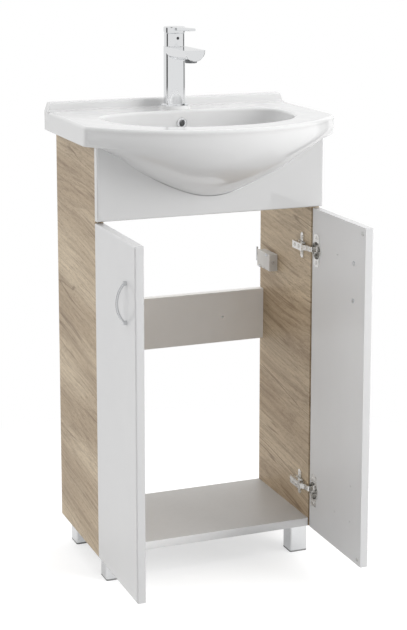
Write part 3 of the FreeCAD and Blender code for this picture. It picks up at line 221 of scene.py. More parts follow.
@dataclass(frozen=True)
class WoodFigure:
    """Long-grained wood: growth lines, streaks and pores along the first axis of the vector."""

    drift: Layer = Layer(1.6, 3.5, 2.0, 0.45)
    drift_reach: float = 0.06
    growth: Layer = Layer(0.8, 7.0, 1.0, 0.35)
    late_wood_from: float = 0.35
    zones: Layer = Layer(1.8, 9.0, 1.0, 0.5, 0.36, 0.62, True)
    bands: Layer = Layer(1.0, 9.0, 3.0, 0.55, 0.36, 0.64, True)
    streaks: Layer = Layer(3.0, 170.0, 5.0, 0.75, 0.46, 0.72)
    fibres: Layer = Layer(10.0, 420.0, 3.0, 0.65, 0.36, 0.66)
    pores: Layer = Layer(70.0, 1300.0, 2.0, 0.5, 0.56, 0.68)
    threads: Layer = Layer(1.3, 24.0, 2.0)
    thread_edge: tuple[float, float] = (0.004, 0.014)
    thread_patches: Layer = Layer(5.0, 26.0, 1.0, 0.5, 0.50, 0.58)
    fibres_in_lines: float = 0.6
    streak_share: float = 0.60
    fibre_share: float = 0.20
    thread_share: float = 0.55

    def build(self) -> bpy.types.NodeTree:
        """The group, whose colours are laid from the ground up."""
        sheet = GroupSheet(
            Effect.WOOD,
            [("Vector", VECTOR, None), ("Ring Count", FLOAT, 40.0), ("Light", COLOUR, (0.5, 0.4, 0.3, 1.0)),
             ("Middle", COLOUR, (0.4, 0.3, 0.2, 1.0)), ("Dark", COLOUR, (0.2, 0.15, 0.1, 1.0)),
             ("Line Strength", FLOAT, 0.6), ("Pore Strength", FLOAT, 0.5)],
            [("Color", COLOUR), ("Height", FLOAT), ("Gloss Break", FLOAT)],
        )
        entry = sheet.entry
        dark = entry["Dark"]
        bent = self._bent(sheet, entry["Vector"])
        fibre_level = sheet.noise(bent, self.fibres)["Fac"]
        fibres = sheet.spread(fibre_level, self.fibres.low, self.fibres.high)
        pore_share = sheet.product(sheet.layer(bent, self.pores), entry["Pore Strength"])
        colour = sheet.blend(sheet.layer(bent, self.bands), entry["Light"], entry["Middle"])
        broken = sheet.sum("ADD", sheet.product(fibres, self.fibres_in_lines), 1.0 - self.fibres_in_lines)
        lines = self._lines(sheet, bent, entry["Ring Count"])
        colour = sheet.blend(sheet.product(lines, entry["Line Strength"], broken), colour, dark)
        colour = sheet.blend(sheet.product(sheet.layer(bent, self.streaks), self.streak_share), colour, dark)
        colour = sheet.blend(sheet.product(fibres, self.fibre_share), colour, dark)
        colour = sheet.blend(self._threads(sheet, bent), colour, dark)
        colour = sheet.blend(pore_share, colour, dark)
        return sheet.give(Color=colour, Height=sheet.sum("SUBTRACT", fibre_level, pore_share),
                          Gloss_Break=pore_share)

    def _bent(self, sheet: GroupSheet, place: Feed) -> bpy.types.NodeSocket:
        """The place, pushed aside by the grain's slow bends."""
        drift = sheet.vector("SUBTRACT", sheet.noise(place, self.drift)["Color"], (0.5, 0.5, 0.5))
        push = sheet.vector("MULTIPLY", drift, (0.0, self.drift_reach, self.drift_reach))
        return sheet.vector("ADD", place, push)

    def _lines(self, sheet: GroupSheet, bent: Feed, count: Feed) -> bpy.types.NodeSocket:
        """Growth lines, the level lines of a slow field, strong in some zones and weak in others."""
        saw = sheet.sum("FRACT", sheet.product(sheet.noise(bent, self.growth)["Fac"], count))
        late_wood = sheet.spread(saw, self.late_wood_from, 1.0, smooth=True)
        return sheet.product(late_wood, sheet.layer(bent, self.zones))

    def _threads(self, sheet: GroupSheet, bent: Feed) -> bpy.types.NodeSocket:
        """A few thin dark lines, where a slow field crosses its middle."""
        crossing = sheet.sum("ABSOLUTE", sheet.sum("SUBTRACT", sheet.noise(bent, self.threads)["Fac"], 0.5))
        thread = sheet.sum("SUBTRACT", 1.0, sheet.spread(crossing, *self.thread_edge))
        return sheet.product(thread, sheet.layer(bent, self.thread_patches), self.thread_share)


class Effects:
    """Builds each shared effect once."""

    made: ClassVar[dict[Effect, bpy.types.NodeTree]] = {}

    @classmethod
    def get(cls, effect: Effect) -> bpy.types.NodeTree:
        """The group of an effect, built on first use.

        Args:
            effect: Which effect.

        Returns:
            Its node group.
        """
        if effect not in cls.made:
            builder: Callable[[], bpy.types.NodeTree] = {
                Effect.MOTTLE: cls._mottle,
                Effect.RIPPLE: cls._ripple,
                Effect.BRUSHED: cls._brushed,
                Effect.WOOD: WoodFigure().build,
                Effect.SPECKS: cls._specks,
            }[effect]
            cls.made[effect] = builder()
        return cls.made[effect]

    @staticmethod
    def _mottle() -> bpy.types.NodeTree:
        """Soft cloudy variation between two values."""
        sheet = GroupSheet(Effect.MOTTLE, [("Vector", VECTOR, None), ("Scale", FLOAT, 8.0),
                                           ("Low", FLOAT, 0.1), ("High", FLOAT, 0.2)], [("Value", FLOAT)])
        noise = sheet.node("TexNoise", {"Vector": sheet.entry["Vector"], "Scale": sheet.entry["Scale"],
                                        "Detail": 5.0, "Roughness": 0.6})
        spread = sheet.node("MapRange", {"Value": noise.outputs["Fac"], "From Min": 0.3, "From Max": 0.7,
                                         "To Min": sheet.entry["Low"], "To Max": sheet.entry["High"]})
        return sheet.give(Value=spread.outputs["Result"])

    @staticmethod
    def _ripple() -> bpy.types.NodeTree:
        """Long soft waves of a lacquer or glaze, with a fine peel on top."""
        sheet = GroupSheet(Effect.RIPPLE, [("Vector", VECTOR, None), ("Wave Scale", FLOAT, 20.0),
                                           ("Peel Scale", FLOAT, 400.0), ("Peel Share", FLOAT, 0.1)],
                           [("Height", FLOAT)])
        place = sheet.entry["Vector"]
        wave = sheet.node("TexNoise", {"Vector": place, "Scale": sheet.entry["Wave Scale"], "Detail": 1.0})
        peel = sheet.node("TexNoise", {"Vector": place, "Scale": sheet.entry["Peel Scale"], "Detail": 2.0})
        mix = sheet.node("Mix", {"Factor": sheet.entry["Peel Share"], "A": wave.outputs["Fac"],
                                 "B": peel.outputs["Fac"]})
        return sheet.give(Height=mix.outputs["Result"])

    @staticmethod
    def _brushed() -> bpy.types.NodeTree:
        """Fine parallel lines, stretched per axis."""
        sheet = GroupSheet(Effect.BRUSHED,
                           [("Vector", VECTOR, None), ("Stretch", VECTOR, (30.0, 600.0, 600.0))],
                           [("Height", FLOAT), ("Tone", FLOAT)])
        stretched = sheet.vector("MULTIPLY", sheet.entry["Vector"], sheet.entry["Stretch"])
        lines = sheet.node("TexNoise", {"Vector": stretched, "Scale": 1.0, "Detail": 6.0,
                                        "Roughness": 0.7}).outputs["Fac"]
        return sheet.give(Height=lines, Tone=sheet.spread(lines, 0.35, 0.65))

    @staticmethod
    def _specks() -> bpy.types.NodeTree:
        """Sparse small specks, 0 between them and 1 on them."""
        sheet = GroupSheet(Effect.SPECKS, [("Vector", VECTOR, None), ("Scale", FLOAT, 900.0),
                                           ("Share", FLOAT, 0.1)], [("Mask", FLOAT)])
        cells = sheet.node("TexVoronoi", {"Vector": sheet.entry["Vector"], "Scale": sheet.entry["Scale"]})
        return sheet.give(Mask=sheet.sum("LESS_THAN", cells.outputs["Distance"], sheet.entry["Share"]))


class Shader:
    """A Principled material under construction, with the object's own coordinates at hand."""

    def __init__(self, name: str, **constants: object) -> None:
        """Makes the material.

        Args:
            name: The material's name.
            **constants: Values for the shader's own sockets, with underscores for blanks in their names.
        """
        self.material = bpy.data.materials.new(name)
        self.material.use_nodes = True
        self.tree = self.material.node_tree
        self.main = self.tree.nodes["Principled BSDF"]
        self.place = self.tree.nodes.new("ShaderNodeTexCoord").outputs["Object"]
        for key, value in constants.items():
            socket = self.main.inputs[key.replace("_", " ")]
            socket.default_value = (*value, 1.0) if isinstance(value, tuple) else value

    def effect(self, effect: Effect, place: Optional[bpy.types.NodeSocket] = None, **values: object
               ) -> bpy.types.NodeOutputs:
        """Places a shared effect.

        Args:
            effect: Which effect.
            place: Coordinates other than the object's own.
            **values: Input name with underscores for blanks, and its value.

        Returns:
            The group's outputs.
        """
        made = self.tree.nodes.new("ShaderNodeGroup")
        made.node_tree = Effects.get(effect)
        self.tree.links.new(place or self.place, made.inputs["Vector"])
        for key, value in values.items():
            socket = made.inputs[key.replace("_", " ")]
            socket.default_value = (*value, 1.0) if socket.type == "RGBA" else value
        return made.outputs

    def turned(self, angles: Triple, offset: Triple) -> bpy.types.NodeSocket:
        """The object's coordinates, turned by degrees and moved by metres."""
        radians = tuple(math.radians(angle) for angle in angles)
        made = wire(self.tree, "Mapping", {"Vector": self.place, "Rotation": radians, "Location": offset})
        return made.outputs["Vector"]

    def feed(self, socket: str, source: bpy.types.NodeSocket) -> None:
        """Links a varying value to a socket of the shader."""
        self.tree.links.new(source, self.main.inputs[socket])

    def tones(self, share: bpy.types.NodeSocket, first: Colour, second: Colour) -> None:
        """Lets the base colour drift between two tones."""
        mix = wire(self.tree, "Mix", {"Factor": share, "A": first, "B": second}, data_type="RGBA")
        self.feed("Base Color", mix.outputs["Result"])

    def clouds(self, scale: float, low: float, high: float) -> bpy.types.NodeSocket:
        """A soft variation between two values."""
        return self.effect(Effect.MOTTLE, Scale=scale, Low=low, High=high)["Value"]

    def bump(self, height: bpy.types.NodeSocket, strength: float, distance: float,
             below: Optional[bpy.types.NodeSocket] = None) -> bpy.types.NodeSocket:
        """Adds a bump and makes it the shader's normal.

        Args:
            height: The height pattern.
            strength: 0 to 1, or below 0 for pits.
            distance: Depth in metres.
            below: The normal of a bump that this one lies on.

        Returns:
            The new normal.
        """
        made = wire(self.tree, "Bump", {"Strength": abs(strength), "Distance": distance, "Height": height},
                    invert=strength < 0)
        if below is not None:
            self.tree.links.new(below, made.inputs["Normal"])
        self.feed("Normal", made.outputs["Normal"])
        return made.outputs["Normal"]


# ---- finishes
@dataclass(frozen=True)
class GlossLacquer:
    """White high-gloss fronts: a faint peel, a faint tone drift and soft wipe marks."""

    name: str = "white_gloss_lacquer"
    tone: Colour = (0.70, 0.70, 0.70)
    shade: Colour = (0.67, 0.67, 0.675)
    coat: float = 0.6
    coat_ior: float = 1.6
    satin_rise: float = 0.26
    satin_within: Optional[float] = None

    def build(self) -> bpy.types.Material:
        """The material, satin on the face that lies nearer to the middle than satin_within."""
        shader = Shader(self.name, Coat_Weight=self.coat, Coat_Roughness=0.03, Coat_IOR=self.coat_ior)
        shader.tones(shader.clouds(scale=3.0, low=0.0, high=1.0), self.tone, self.shade)
        rough = shader.clouds(scale=26.0, low=0.09, high=0.17)
        if self.satin_within is not None:
            across = wire(shader.tree, "SeparateXYZ", {0: shader.place}).outputs["X"]
            aside = reckon(shader.tree, "ABSOLUTE", across)
            inside = reckon(shader.tree, "LESS_THAN", aside, self.satin_within)
            rough = reckon(shader.tree, "MULTIPLY_ADD", inside, self.satin_rise, rough)
        shader.feed("Roughness", rough)
        peel = shader.effect(Effect.RIPPLE, Wave_Scale=14.0, Peel_Scale=520.0, Peel_Share=0.06)
        shader.bump(peel["Height"], 0.06, 0.002)
        return shader.material


@dataclass(frozen=True)
class OakDecor:
    """Pale greyish oak decor with the grain from front to back."""

    name: str = "oak_decor"
    light: Colour = linear(0.84, 0.77, 0.66)
    middle: Colour = linear(0.72, 0.64, 0.53)
    dark: Colour = linear(0.42, 0.32, 0.22)
    turn: Triple = (-6.0, 0.0, -90.0)
    offset: Triple = (0.02, 0.11, 0.31)

    def build(self) -> bpy.types.Material:
        """The material."""
        shader = Shader(self.name, Specular_IOR_Level=0.35)
        grain = shader.effect(Effect.WOOD, shader.turned(self.turn, self.offset), Ring_Count=30.0,
                              Light=self.light, Middle=self.middle, Dark=self.dark, Line_Strength=0.24,
                              Pore_Strength=0.45)
        shader.feed("Base Color", grain["Color"])
        rough = wire(shader.tree, "MapRange", {"Value": grain["Gloss Break"], "To Min": 0.42, "To Max": 0.62})
        shader.feed("Roughness", rough.outputs["Result"])
        shader.bump(grain["Height"], 0.3, 0.0003)
        return shader.material


@dataclass(frozen=True)
class PlainWood:
    """Beech of the dowels, grain along the dowel."""

    name: str = "plain_beech"

    def build(self) -> bpy.types.Material:
        """The material."""
        shader = Shader(self.name, Roughness=0.6)
        grain = shader.effect(Effect.WOOD, Ring_Count=90.0, Light=linear(0.84, 0.70, 0.52),
                              Middle=linear(0.78, 0.62, 0.45), Dark=linear(0.5, 0.36, 0.24),
                              Line_Strength=0.4, Pore_Strength=0.5)
        shader.feed("Base Color", grain["Color"])
        shader.bump(grain["Height"], 0.3, 0.0003)
        return shader.material


@dataclass(frozen=True)
class WhiteBoard:
    """White melamine-faced board with a fine satin grain."""

    name: str = "white_melamine"
    tone: Colour = (0.87, 0.855, 0.83)
    shade: Colour = (0.83, 0.815, 0.79)

    def build(self) -> bpy.types.Material:
        """The material."""
        shader = Shader(self.name)
        shader.tones(shader.clouds(scale=5.0, low=0.0, high=1.0), self.tone, self.shade)
        shader.feed("Roughness", shader.clouds(scale=120.0, low=0.34, high=0.46))
        pits = shader.effect(Effect.RIPPLE, Wave_Scale=240.0, Peel_Scale=1500.0, Peel_Share=0.5)
        shader.bump(pits["Height"], 0.12, 0.0004)
        return shader.material


@dataclass(frozen=True)
class GlazedCeramic:
    """White sanitary ceramic: deep glaze with a hint of waviness and a few pinholes."""

    name: str = "white_glaze"
    tone: Colour = (0.71, 0.71, 0.71)
    shade: Colour = (0.69, 0.69, 0.69)

    def build(self) -> bpy.types.Material:
        """The material."""
        shader = Shader(self.name, Coat_Weight=0.5, Coat_Roughness=0.04, Coat_IOR=1.5)
        shader.tones(shader.clouds(scale=7.0, low=0.0, high=1.0), self.tone, self.shade)
        shader.feed("Roughness", shader.clouds(scale=40.0, low=0.10, high=0.18))
        glaze = shader.effect(Effect.RIPPLE, Wave_Scale=18.0, Peel_Scale=160.0, Peel_Share=0.1)
        waves = shader.bump(glaze["Height"], 0.08, 0.003)
        shader.bump(shader.effect(Effect.SPECKS, Scale=260.0, Share=0.035)["Mask"], -0.15, 0.0002, waves)
        return shader.material


@dataclass(frozen=True)
class Chrome:
    """Polished chrome plate with faint wipe marks and dried drops."""

    name: str = "polished_chrome"
    tone: Colour = (0.86, 0.87, 0.88)

    def build(self) -> bpy.types.Material:
        """The material."""
        shader = Shader(self.name, Base_Color=self.tone, Metallic=1.0)
        shader.feed("Roughness", shader.clouds(scale=55.0, low=0.035, high=0.11))
        plate = shader.effect(Effect.RIPPLE, Wave_Scale=60.0, Peel_Scale=900.0, Peel_Share=0.12)
        shader.bump(plate["Height"], 0.08, 0.0012)
        return shader.material


@dataclass(frozen=True)
class PressedSteel:
    """Pressed and plated steel of hinges, brackets and screws: drawing lines and rubbed spots."""

    name: str
    tone: Colour
    rub: Colour
    low: float = 0.16
    high: float = 0.38

    def build(self) -> bpy.types.Material:
        """The material."""
        shader = Shader(self.name, Metallic=1.0)
        lines = shader.effect(Effect.BRUSHED, Stretch=(900.0, 120.0, 900.0))
        shader.tones(lines["Tone"], self.tone, self.rub)
        shader.feed("Roughness", shader.clouds(scale=140.0, low=self.low, high=self.high))
        shader.bump(lines["Height"], 0.12, 0.0002)
        return shader.material


@dataclass(frozen=True)
class MouldedPlastic:
    """Injection-moulded plastic with spark-eroded grain."""

    name: str
    tone: Colour
    shade: Colour
    roughness: float = 0.42
    through: float = 0.0

    def build(self) -> bpy.types.Material:
        """The material."""
        shader = Shader(self.name, Transmission_Weight=self.through)
        shader.tones(shader.clouds(scale=60.0, low=0.0, high=1.0), self.tone, self.shade)
        low, high = self.roughness * 0.85, self.roughness * 1.15
        shader.feed("Roughness", shader.clouds(scale=300.0, low=low, high=high))
        grain = shader.effect(Effect.RIPPLE, Wave_Scale=900.0, Peel_Scale=2600.0, Peel_Share=0.5)
        shader.bump(grain["Height"], 0.2, 0.0002)
        return shader.material


@dataclass
class Wardrobe:
    """Every finish, by the record's slot name or by its own where one node differs a little; several own
    finishes are lighter or darker copies of a slot's finish, painted light and painted shade.
    """

    made: dict[str, bpy.types.Material] = field(default_factory=dict)

    def __post_init__(self) -> None:
        """Builds the materials."""
        finishes = {
            "oak_decor": OakDecor(),
            "white_gloss_front": GlossLacquer(),
            # Painted light: a much lighter copy of the front lacquer for the shelf's edge strip, brightened
            # to look lit where it sits in the doors' shade.
            "gloss_strip": GlossLacquer("gloss_strip", (0.97, 0.97, 0.97), (0.94, 0.94, 0.94)),
            # Painted shade: a darker copy of the front lacquer for the front panel, so that it looks less
            # lit; its stronger coat is real gloss.
            "panel_lacquer": GlossLacquer("panel_lacquer", (0.62, 0.62, 0.62), (0.59, 0.59, 0.59), 1.0, 2.1),
            "door_lacquer": GlossLacquer("door_lacquer", coat=0.15, satin_within=0.2112),
            "white_board": WhiteBoard(),
            # Painted shade: a much darker copy of the white board for the shelf, standing in for the shade
            # inside the carcass.
            "shelf_board": WhiteBoard("shelf_melamine", (0.54, 0.529, 0.514), (0.50, 0.49, 0.475)),
            # Painted light: a mid-grey, lighter copy of the dark plastic for the glides, so that they look
            # more lit.
            "glide_plastic": MouldedPlastic("glide_plastic", (0.30, 0.30, 0.30), (0.24, 0.24, 0.24)),
            "beech": PlainWood(),
            "glazed_ceramic": GlazedCeramic(),
            "chrome": Chrome(),
            # Painted shade: a darker copy of the chrome for the handles, so that they look less lit.
            "handle_chrome": Chrome("handle_chrome", (0.64, 0.65, 0.66)),
            # Painted light: a lighter copy of the white board for the back rail, standing in for light that
            # the inside of the carcass lacks.
            "rail_board": WhiteBoard("rail_melamine", (0.94, 0.93, 0.915), (0.90, 0.89, 0.875)),
            "nickel_steel": PressedSteel("nickel_plate", (0.80, 0.79, 0.77), (0.70, 0.69, 0.67)),
            "zinc_steel": PressedSteel("zinc_plate", (0.70, 0.71, 0.73), (0.56, 0.57, 0.59), 0.22, 0.45),
            "white_plastic": MouldedPlastic("white_plastic", (0.72, 0.71, 0.69), (0.68, 0.67, 0.65)),
            "dark_plastic": MouldedPlastic("dark_plastic", (0.03, 0.03, 0.032), (0.045, 0.045, 0.047), 0.5),
            "grey_plastic": MouldedPlastic("grey_plastic", (0.16, 0.165, 0.17), (0.12, 0.125, 0.13)),
            "clear_soft_plastic": MouldedPlastic("clear_pads", (0.72, 0.72, 0.71), (0.68, 0.68, 0.67),
                                                 0.25, 0.2),
            "rubber": MouldedPlastic("black_rubber", (0.02, 0.02, 0.02), (0.03, 0.03, 0.03), 0.7),
        }
        for slot_name, finish in finishes.items():
            self.made[slot_name] = finish.build()

    def dress_node(self, node: str, slot_name: str) -> None:
        """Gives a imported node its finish.

        Args:
            node: The node's name.
            slot_name: The finish's name.
        """
        mesh = frame["nodes"][node].data
        mesh.materials.clear()
        mesh.materials.append(self.made[slot_name])


# ---- modelling
NEAR = 1e-5


class Bench:
    """Small modelling steps that the pieces share."""

    @staticmethod
    def name(label: str) -> bpy.types.Object:
        """Names the primitive just added."""
        piece = bpy.context.object
        piece.name = label
        piece.data.name = label
        return piece

    @staticmethod
    def pick(piece: bpy.types.Object, kind: str, test: Callable[[object], bool]) -> None:
        """Selects vertices, edges or faces in edit mode by a test.

        Args:
            piece: The object in edit mode.
            kind: "VERT", "EDGE" or "FACE".
            test: Says whether an element is taken.
        """
        bpy.ops.mesh.select_mode(type=kind)
        bpy.ops.mesh.select_all(action="DESELECT")
        mesh = bmesh.from_edit_mesh(piece.data)
        for element in {"VERT": mesh.verts, "EDGE": mesh.edges, "FACE": mesh.faces}[kind]:
            if test(element):
                element.select_set(True)
        bmesh.update_edit_mesh(piece.data)

    @staticmethod
    def apply(piece: bpy.types.Object, kind: str, **settings: object) -> None:
        """Adds a modifier and applies it."""
        modifier = piece.modifiers.new(kind.lower(), kind)
        for key, value in settings.items():
            setattr(modifier, key, value)
        bpy.context.view_layer.objects.active = piece
        bpy.ops.object.modifier_apply(modifier=modifier.name)

    @staticmethod
    def settle(piece: bpy.types.Object) -> None:
        """Moves the object's own place, turn and scale into its mesh."""
        bpy.ops.object.select_all(action="DESELECT")
        piece.select_set(True)
        bpy.context.view_layer.objects.active = piece
        bpy.ops.object.transform_apply(location=True, rotation=True, scale=True)

    @staticmethod
    def finish(piece: bpy.types.Object, material: bpy.types.Material, body: str, slot_name: str,
               angle: float = 35.0) -> None:
        """Settles, shades and dresses a piece and lets it ride.

        Args:
            piece: The new piece.
            material: Its finish.
            body: The body that it moves with.
            slot_name: The record's slot; not used.
            angle: Edges flatter than this many degrees are smooth.
        """
        Bench.settle(piece)
        bpy.ops.object.shade_smooth_by_angle(angle=math.radians(angle))
        piece.data.materials.clear()
        piece.data.materials.append(material)
        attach(piece, body)
        piece.select_set(False)
        log.info("%s: %d faces", piece.name, len(piece.data.polygons))


@dataclass(frozen=True)
class BasinApron:
    """The glazed swell that carries the rim's front over into the belly."""

    middle_y: float = 0.051
    half_width: float = 0.262
    reach: float = 0.222
    top: float = 0.864
    bottom: float = 0.746
    columns: int = 288
    rows: int = 50
    panel_face: float = -0.0252
    panel_ease: float = 0.03
    panel_freedom: float = 0.25
    top_share: float = 0.16
    foot_share: float = 0.55
    swell: float = 0.006
    rounds: int = 120
    lift: float = 0.0002
    wall: float = 0.004
    smooth_angle: float = 50.0

    def build(self, material: bpy.types.Material) -> bpy.types.Object:
        """Drapes a band over the basin's front, evens it out and gives it a thickness.

        Args:
            material: The glaze.

        Returns:
            The piece.
        """
        piece = self._band()
        basin = frame["nodes"]["basin"]
        self._trim(self.panel_face, (0, 1, 0))
        Bench.apply(piece, "SHRINKWRAP", target=basin, wrap_method="PROJECT", use_negative_direction=True,
                    use_positive_direction=False)
        self._weigh(piece)
        Bench.apply(piece, "DISPLACE", strength=self.swell, mid_level=0.0, vertex_group="free")
        Bench.apply(piece, "SMOOTH", factor=0.5, iterations=self.rounds, vertex_group="free")
        Bench.apply(piece, "SHRINKWRAP", target=basin, wrap_method="NEAREST_SURFACEPOINT",
                    wrap_mode="OUTSIDE", offset=self.lift)
        self._trim(self.panel_face, (0, 1, 0))
        self._trim(self.top, (0, 0, 1))
        Bench.apply(piece, "SOLIDIFY", thickness=self.wall, offset=-1.0)
        Bench.finish(piece, material, "cabinet", "glazed_ceramic", self.smooth_angle)
        return piece

    def _band(self) -> bpy.types.Object:
        """An oval band round the basin, in rows."""
        height = self.top - self.bottom
        middle = (0, self.middle_y, (self.top + self.bottom) / 2)
        bpy.ops.mesh.primitive_cylinder_add(vertices=self.columns, radius=1.0, depth=height,
                                            end_fill_type="NOTHING", location=middle)
        piece = Bench.name("basin_apron")
        bpy.ops.transform.resize(value=(self.half_width, self.reach, 1.0))
        Bench.settle(piece)
        bpy.ops.object.mode_set(mode="EDIT")
        Bench.pick(piece, "EDGE", lambda edge: abs(edge.verts[0].co.z - edge.verts[1].co.z) > height / 2)
        bpy.ops.mesh.subdivide(number_cuts=self.rows - 1)
        bpy.ops.object.mode_set(mode="OBJECT")
        return piece

    @staticmethod
    def _trim(level: float, outward: Triple) -> None:
        """Cuts off what lies past the level along the outward axis."""
        plane = Vector(outward) * level
        bpy.ops.object.mode_set(mode="EDIT")
        bpy.ops.mesh.select_all(action="SELECT")
        bpy.ops.mesh.bisect(plane_co=plane, plane_no=outward, clear_outer=True)
        bpy.ops.object.mode_set(mode="OBJECT")

    def _weigh(self, piece: bpy.types.Object) -> None:
        """Says how freely each vertex leaves the basin: least at the rim, the foot and the panel."""
        group = piece.vertex_groups.new(name="free")
        for vertex in piece.data.vertices:
            height = (vertex.co.z - self.bottom) / (self.top - self.bottom)
            below_rim = self._eased((1.0 - height) / self.top_share)
            above_foot = self._eased(height / self.foot_share)
            off_panel = self._eased((self.panel_face - vertex.co.y) / self.panel_ease)
            beside_panel = self.panel_freedom + (1.0 - self.panel_freedom) * off_panel
            group.add([vertex.index], below_rim * above_foot * beside_panel, "REPLACE")

    @staticmethod
    def _eased(share: float) -> float:
        """0 to 1 with soft ends."""
        held = min(1.0, max(0.0, share))
        return held * held * (3.0 - 2.0 * held)


@dataclass(frozen=True)
class EdgeStrip:
    """The glued strip on a board's front edge, with its own front edges eased."""

    label: str
    board: str
    thickness: float = 0.0005
    end_inset: float = 0.0005
    face_inset: float = 0.0001
    eased: float = 0.0002
    steps: int = 2

    def build(self, material: bpy.types.Material, body: str, slot_name: str) -> bpy.types.Object:
        """Makes the strip.

        Args:
            material: Its finish.
            body: The body that it moves with.
            slot_name: The record's slot; passed on, not used.

        Returns:
            The piece.
        """
        low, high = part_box(self.board)
        front_y = low[1] - self.thickness
        low, high = ((low[0] + self.end_inset, front_y, low[2] + self.face_inset),
                     (high[0] - self.end_inset, low[1], high[2] - self.face_inset))
        middle = [(one + other) / 2 for one, other in zip(high, low)]
        bpy.ops.mesh.primitive_cube_add(size=1.0, location=middle)
        piece = Bench.name(self.label)
        bpy.ops.transform.resize(value=[one - other for one, other in zip(high, low)])
        Bench.settle(piece)
        bpy.ops.object.mode_set(mode="EDIT")
        Bench.pick(piece, "EDGE", lambda edge: all(abs(v.co.y - front_y) < NEAR for v in edge.verts))
        bpy.ops.mesh.bevel(offset=self.eased, segments=self.steps)
        bpy.ops.object.mode_set(mode="OBJECT")
        Bench.finish(piece, material, body, slot_name)
        return piece


class Side(Enum):
    """The two sides of the unit, with the sign of X and of the way that their screws are driven."""

    RIGHT = 1
    LEFT = -1

    @property
    def word(self) -> str:
        """The side as it is in names."""
        return self.name.lower()


@dataclass(frozen=True)
class CrossScrew:
    """A pan-head screw with a cross recess, modelled once about its seat, driven along -Z."""

    label: str
    length: float
    head_radius: float = 0.0036
    head_height: float = 0.0014
    shank_radius: float = 0.002
    sides: int = 28
    dome_share: float = 0.55
    dome_steps: int = 4
    tip_length: float = 0.002
    tip_share: float = 0.25
    cross_reach: float = 1.15
    cross_width: float = 0.26
    cross_depth: float = 0.75
    cross_taper: float = 0.45

    def model(self) -> bpy.types.Object:
        """Makes the screw at the origin.

        Returns:
            The screw, whose seat is at the origin.
        """
        top = self.head_height
        bpy.ops.mesh.primitive_cylinder_add(vertices=self.sides, radius=self.head_radius, depth=top,
                                            location=(0, 0, top / 2))
        screw = Bench.name(self.label + "_model")
        Bench.settle(screw)
        bpy.ops.object.mode_set(mode="EDIT")
        Bench.pick(screw, "EDGE", lambda edge: all(v.co.z > top - NEAR / 10 for v in edge.verts))
        bpy.ops.mesh.bevel(offset=top * self.dome_share, segments=self.dome_steps)
        Bench.pick(screw, "FACE", lambda face: face.normal.z < -0.9)
        bpy.ops.mesh.inset(thickness=self.head_radius - self.shank_radius)
        for reach in (self.length - self.tip_length, self.tip_length):
            bpy.ops.mesh.extrude_region_move(TRANSFORM_OT_translate={"value": (0, 0, -reach)})
        bpy.ops.transform.resize(value=(self.tip_share, self.tip_share, 1.0))
        bpy.ops.object.mode_set(mode="OBJECT")
        for turn in (0.0, math.pi / 2):
            self._slot(screw, turn)
        return screw

    def _slot(self, screw: bpy.types.Object, turn: float) -> None:
        """Cuts one tapered bar of the cross into the head."""
        depth = self.head_height * self.cross_depth
        foot = self.head_height - depth
        bpy.ops.mesh.primitive_cube_add(size=1.0, location=(0, 0, self.head_height), rotation=(0, 0, turn))
        cutter = Bench.name("cutter")
        bpy.ops.transform.resize(value=(self.head_radius * self.cross_reach,
                                        self.head_radius * self.cross_width, 2 * depth), orient_type="LOCAL")
        Bench.settle(cutter)
        bpy.ops.object.mode_set(mode="EDIT")
        Bench.pick(cutter, "FACE", lambda face: face.calc_center_median().z < foot + NEAR / 10)
        bpy.ops.transform.resize(value=(self.cross_taper, self.cross_taper, 1.0),
                                 center_override=(0, 0, foot))
        bpy.ops.object.mode_set(mode="OBJECT")
        Bench.apply(screw, "BOOLEAN", operation="DIFFERENCE", object=cutter, solver="EXACT")
        bpy.data.objects.remove(cutter)

    @staticmethod
    def place(model: bpy.types.Object, name: str, seat: Triple, side: Side, spin: float) -> bpy.types.Object:
        """Copies the model to a seat.

        Args:
            model: The screw at the origin.
            name: The copy's name.
            seat: Where its head lies.
            side: The side that it is driven to.
            spin: Its turn about its own axis in degrees.

        Returns:
            The copy, which has its own mesh.
        """
        copy = model.copy()
        copy.data = model.data.copy()
        copy.name = name
        copy.data.name = name
        bpy.context.scene.collection.objects.link(copy)
        driven = Vector((side.value, 0.0, 0.0))
        turn = (-driven).to_track_quat("Z", "Y").to_matrix().to_4x4()
        copy.data.transform(Matrix.Translation(seat) @ turn @ Matrix.Rotation(math.radians(spin), 4, "Z"))
        return copy


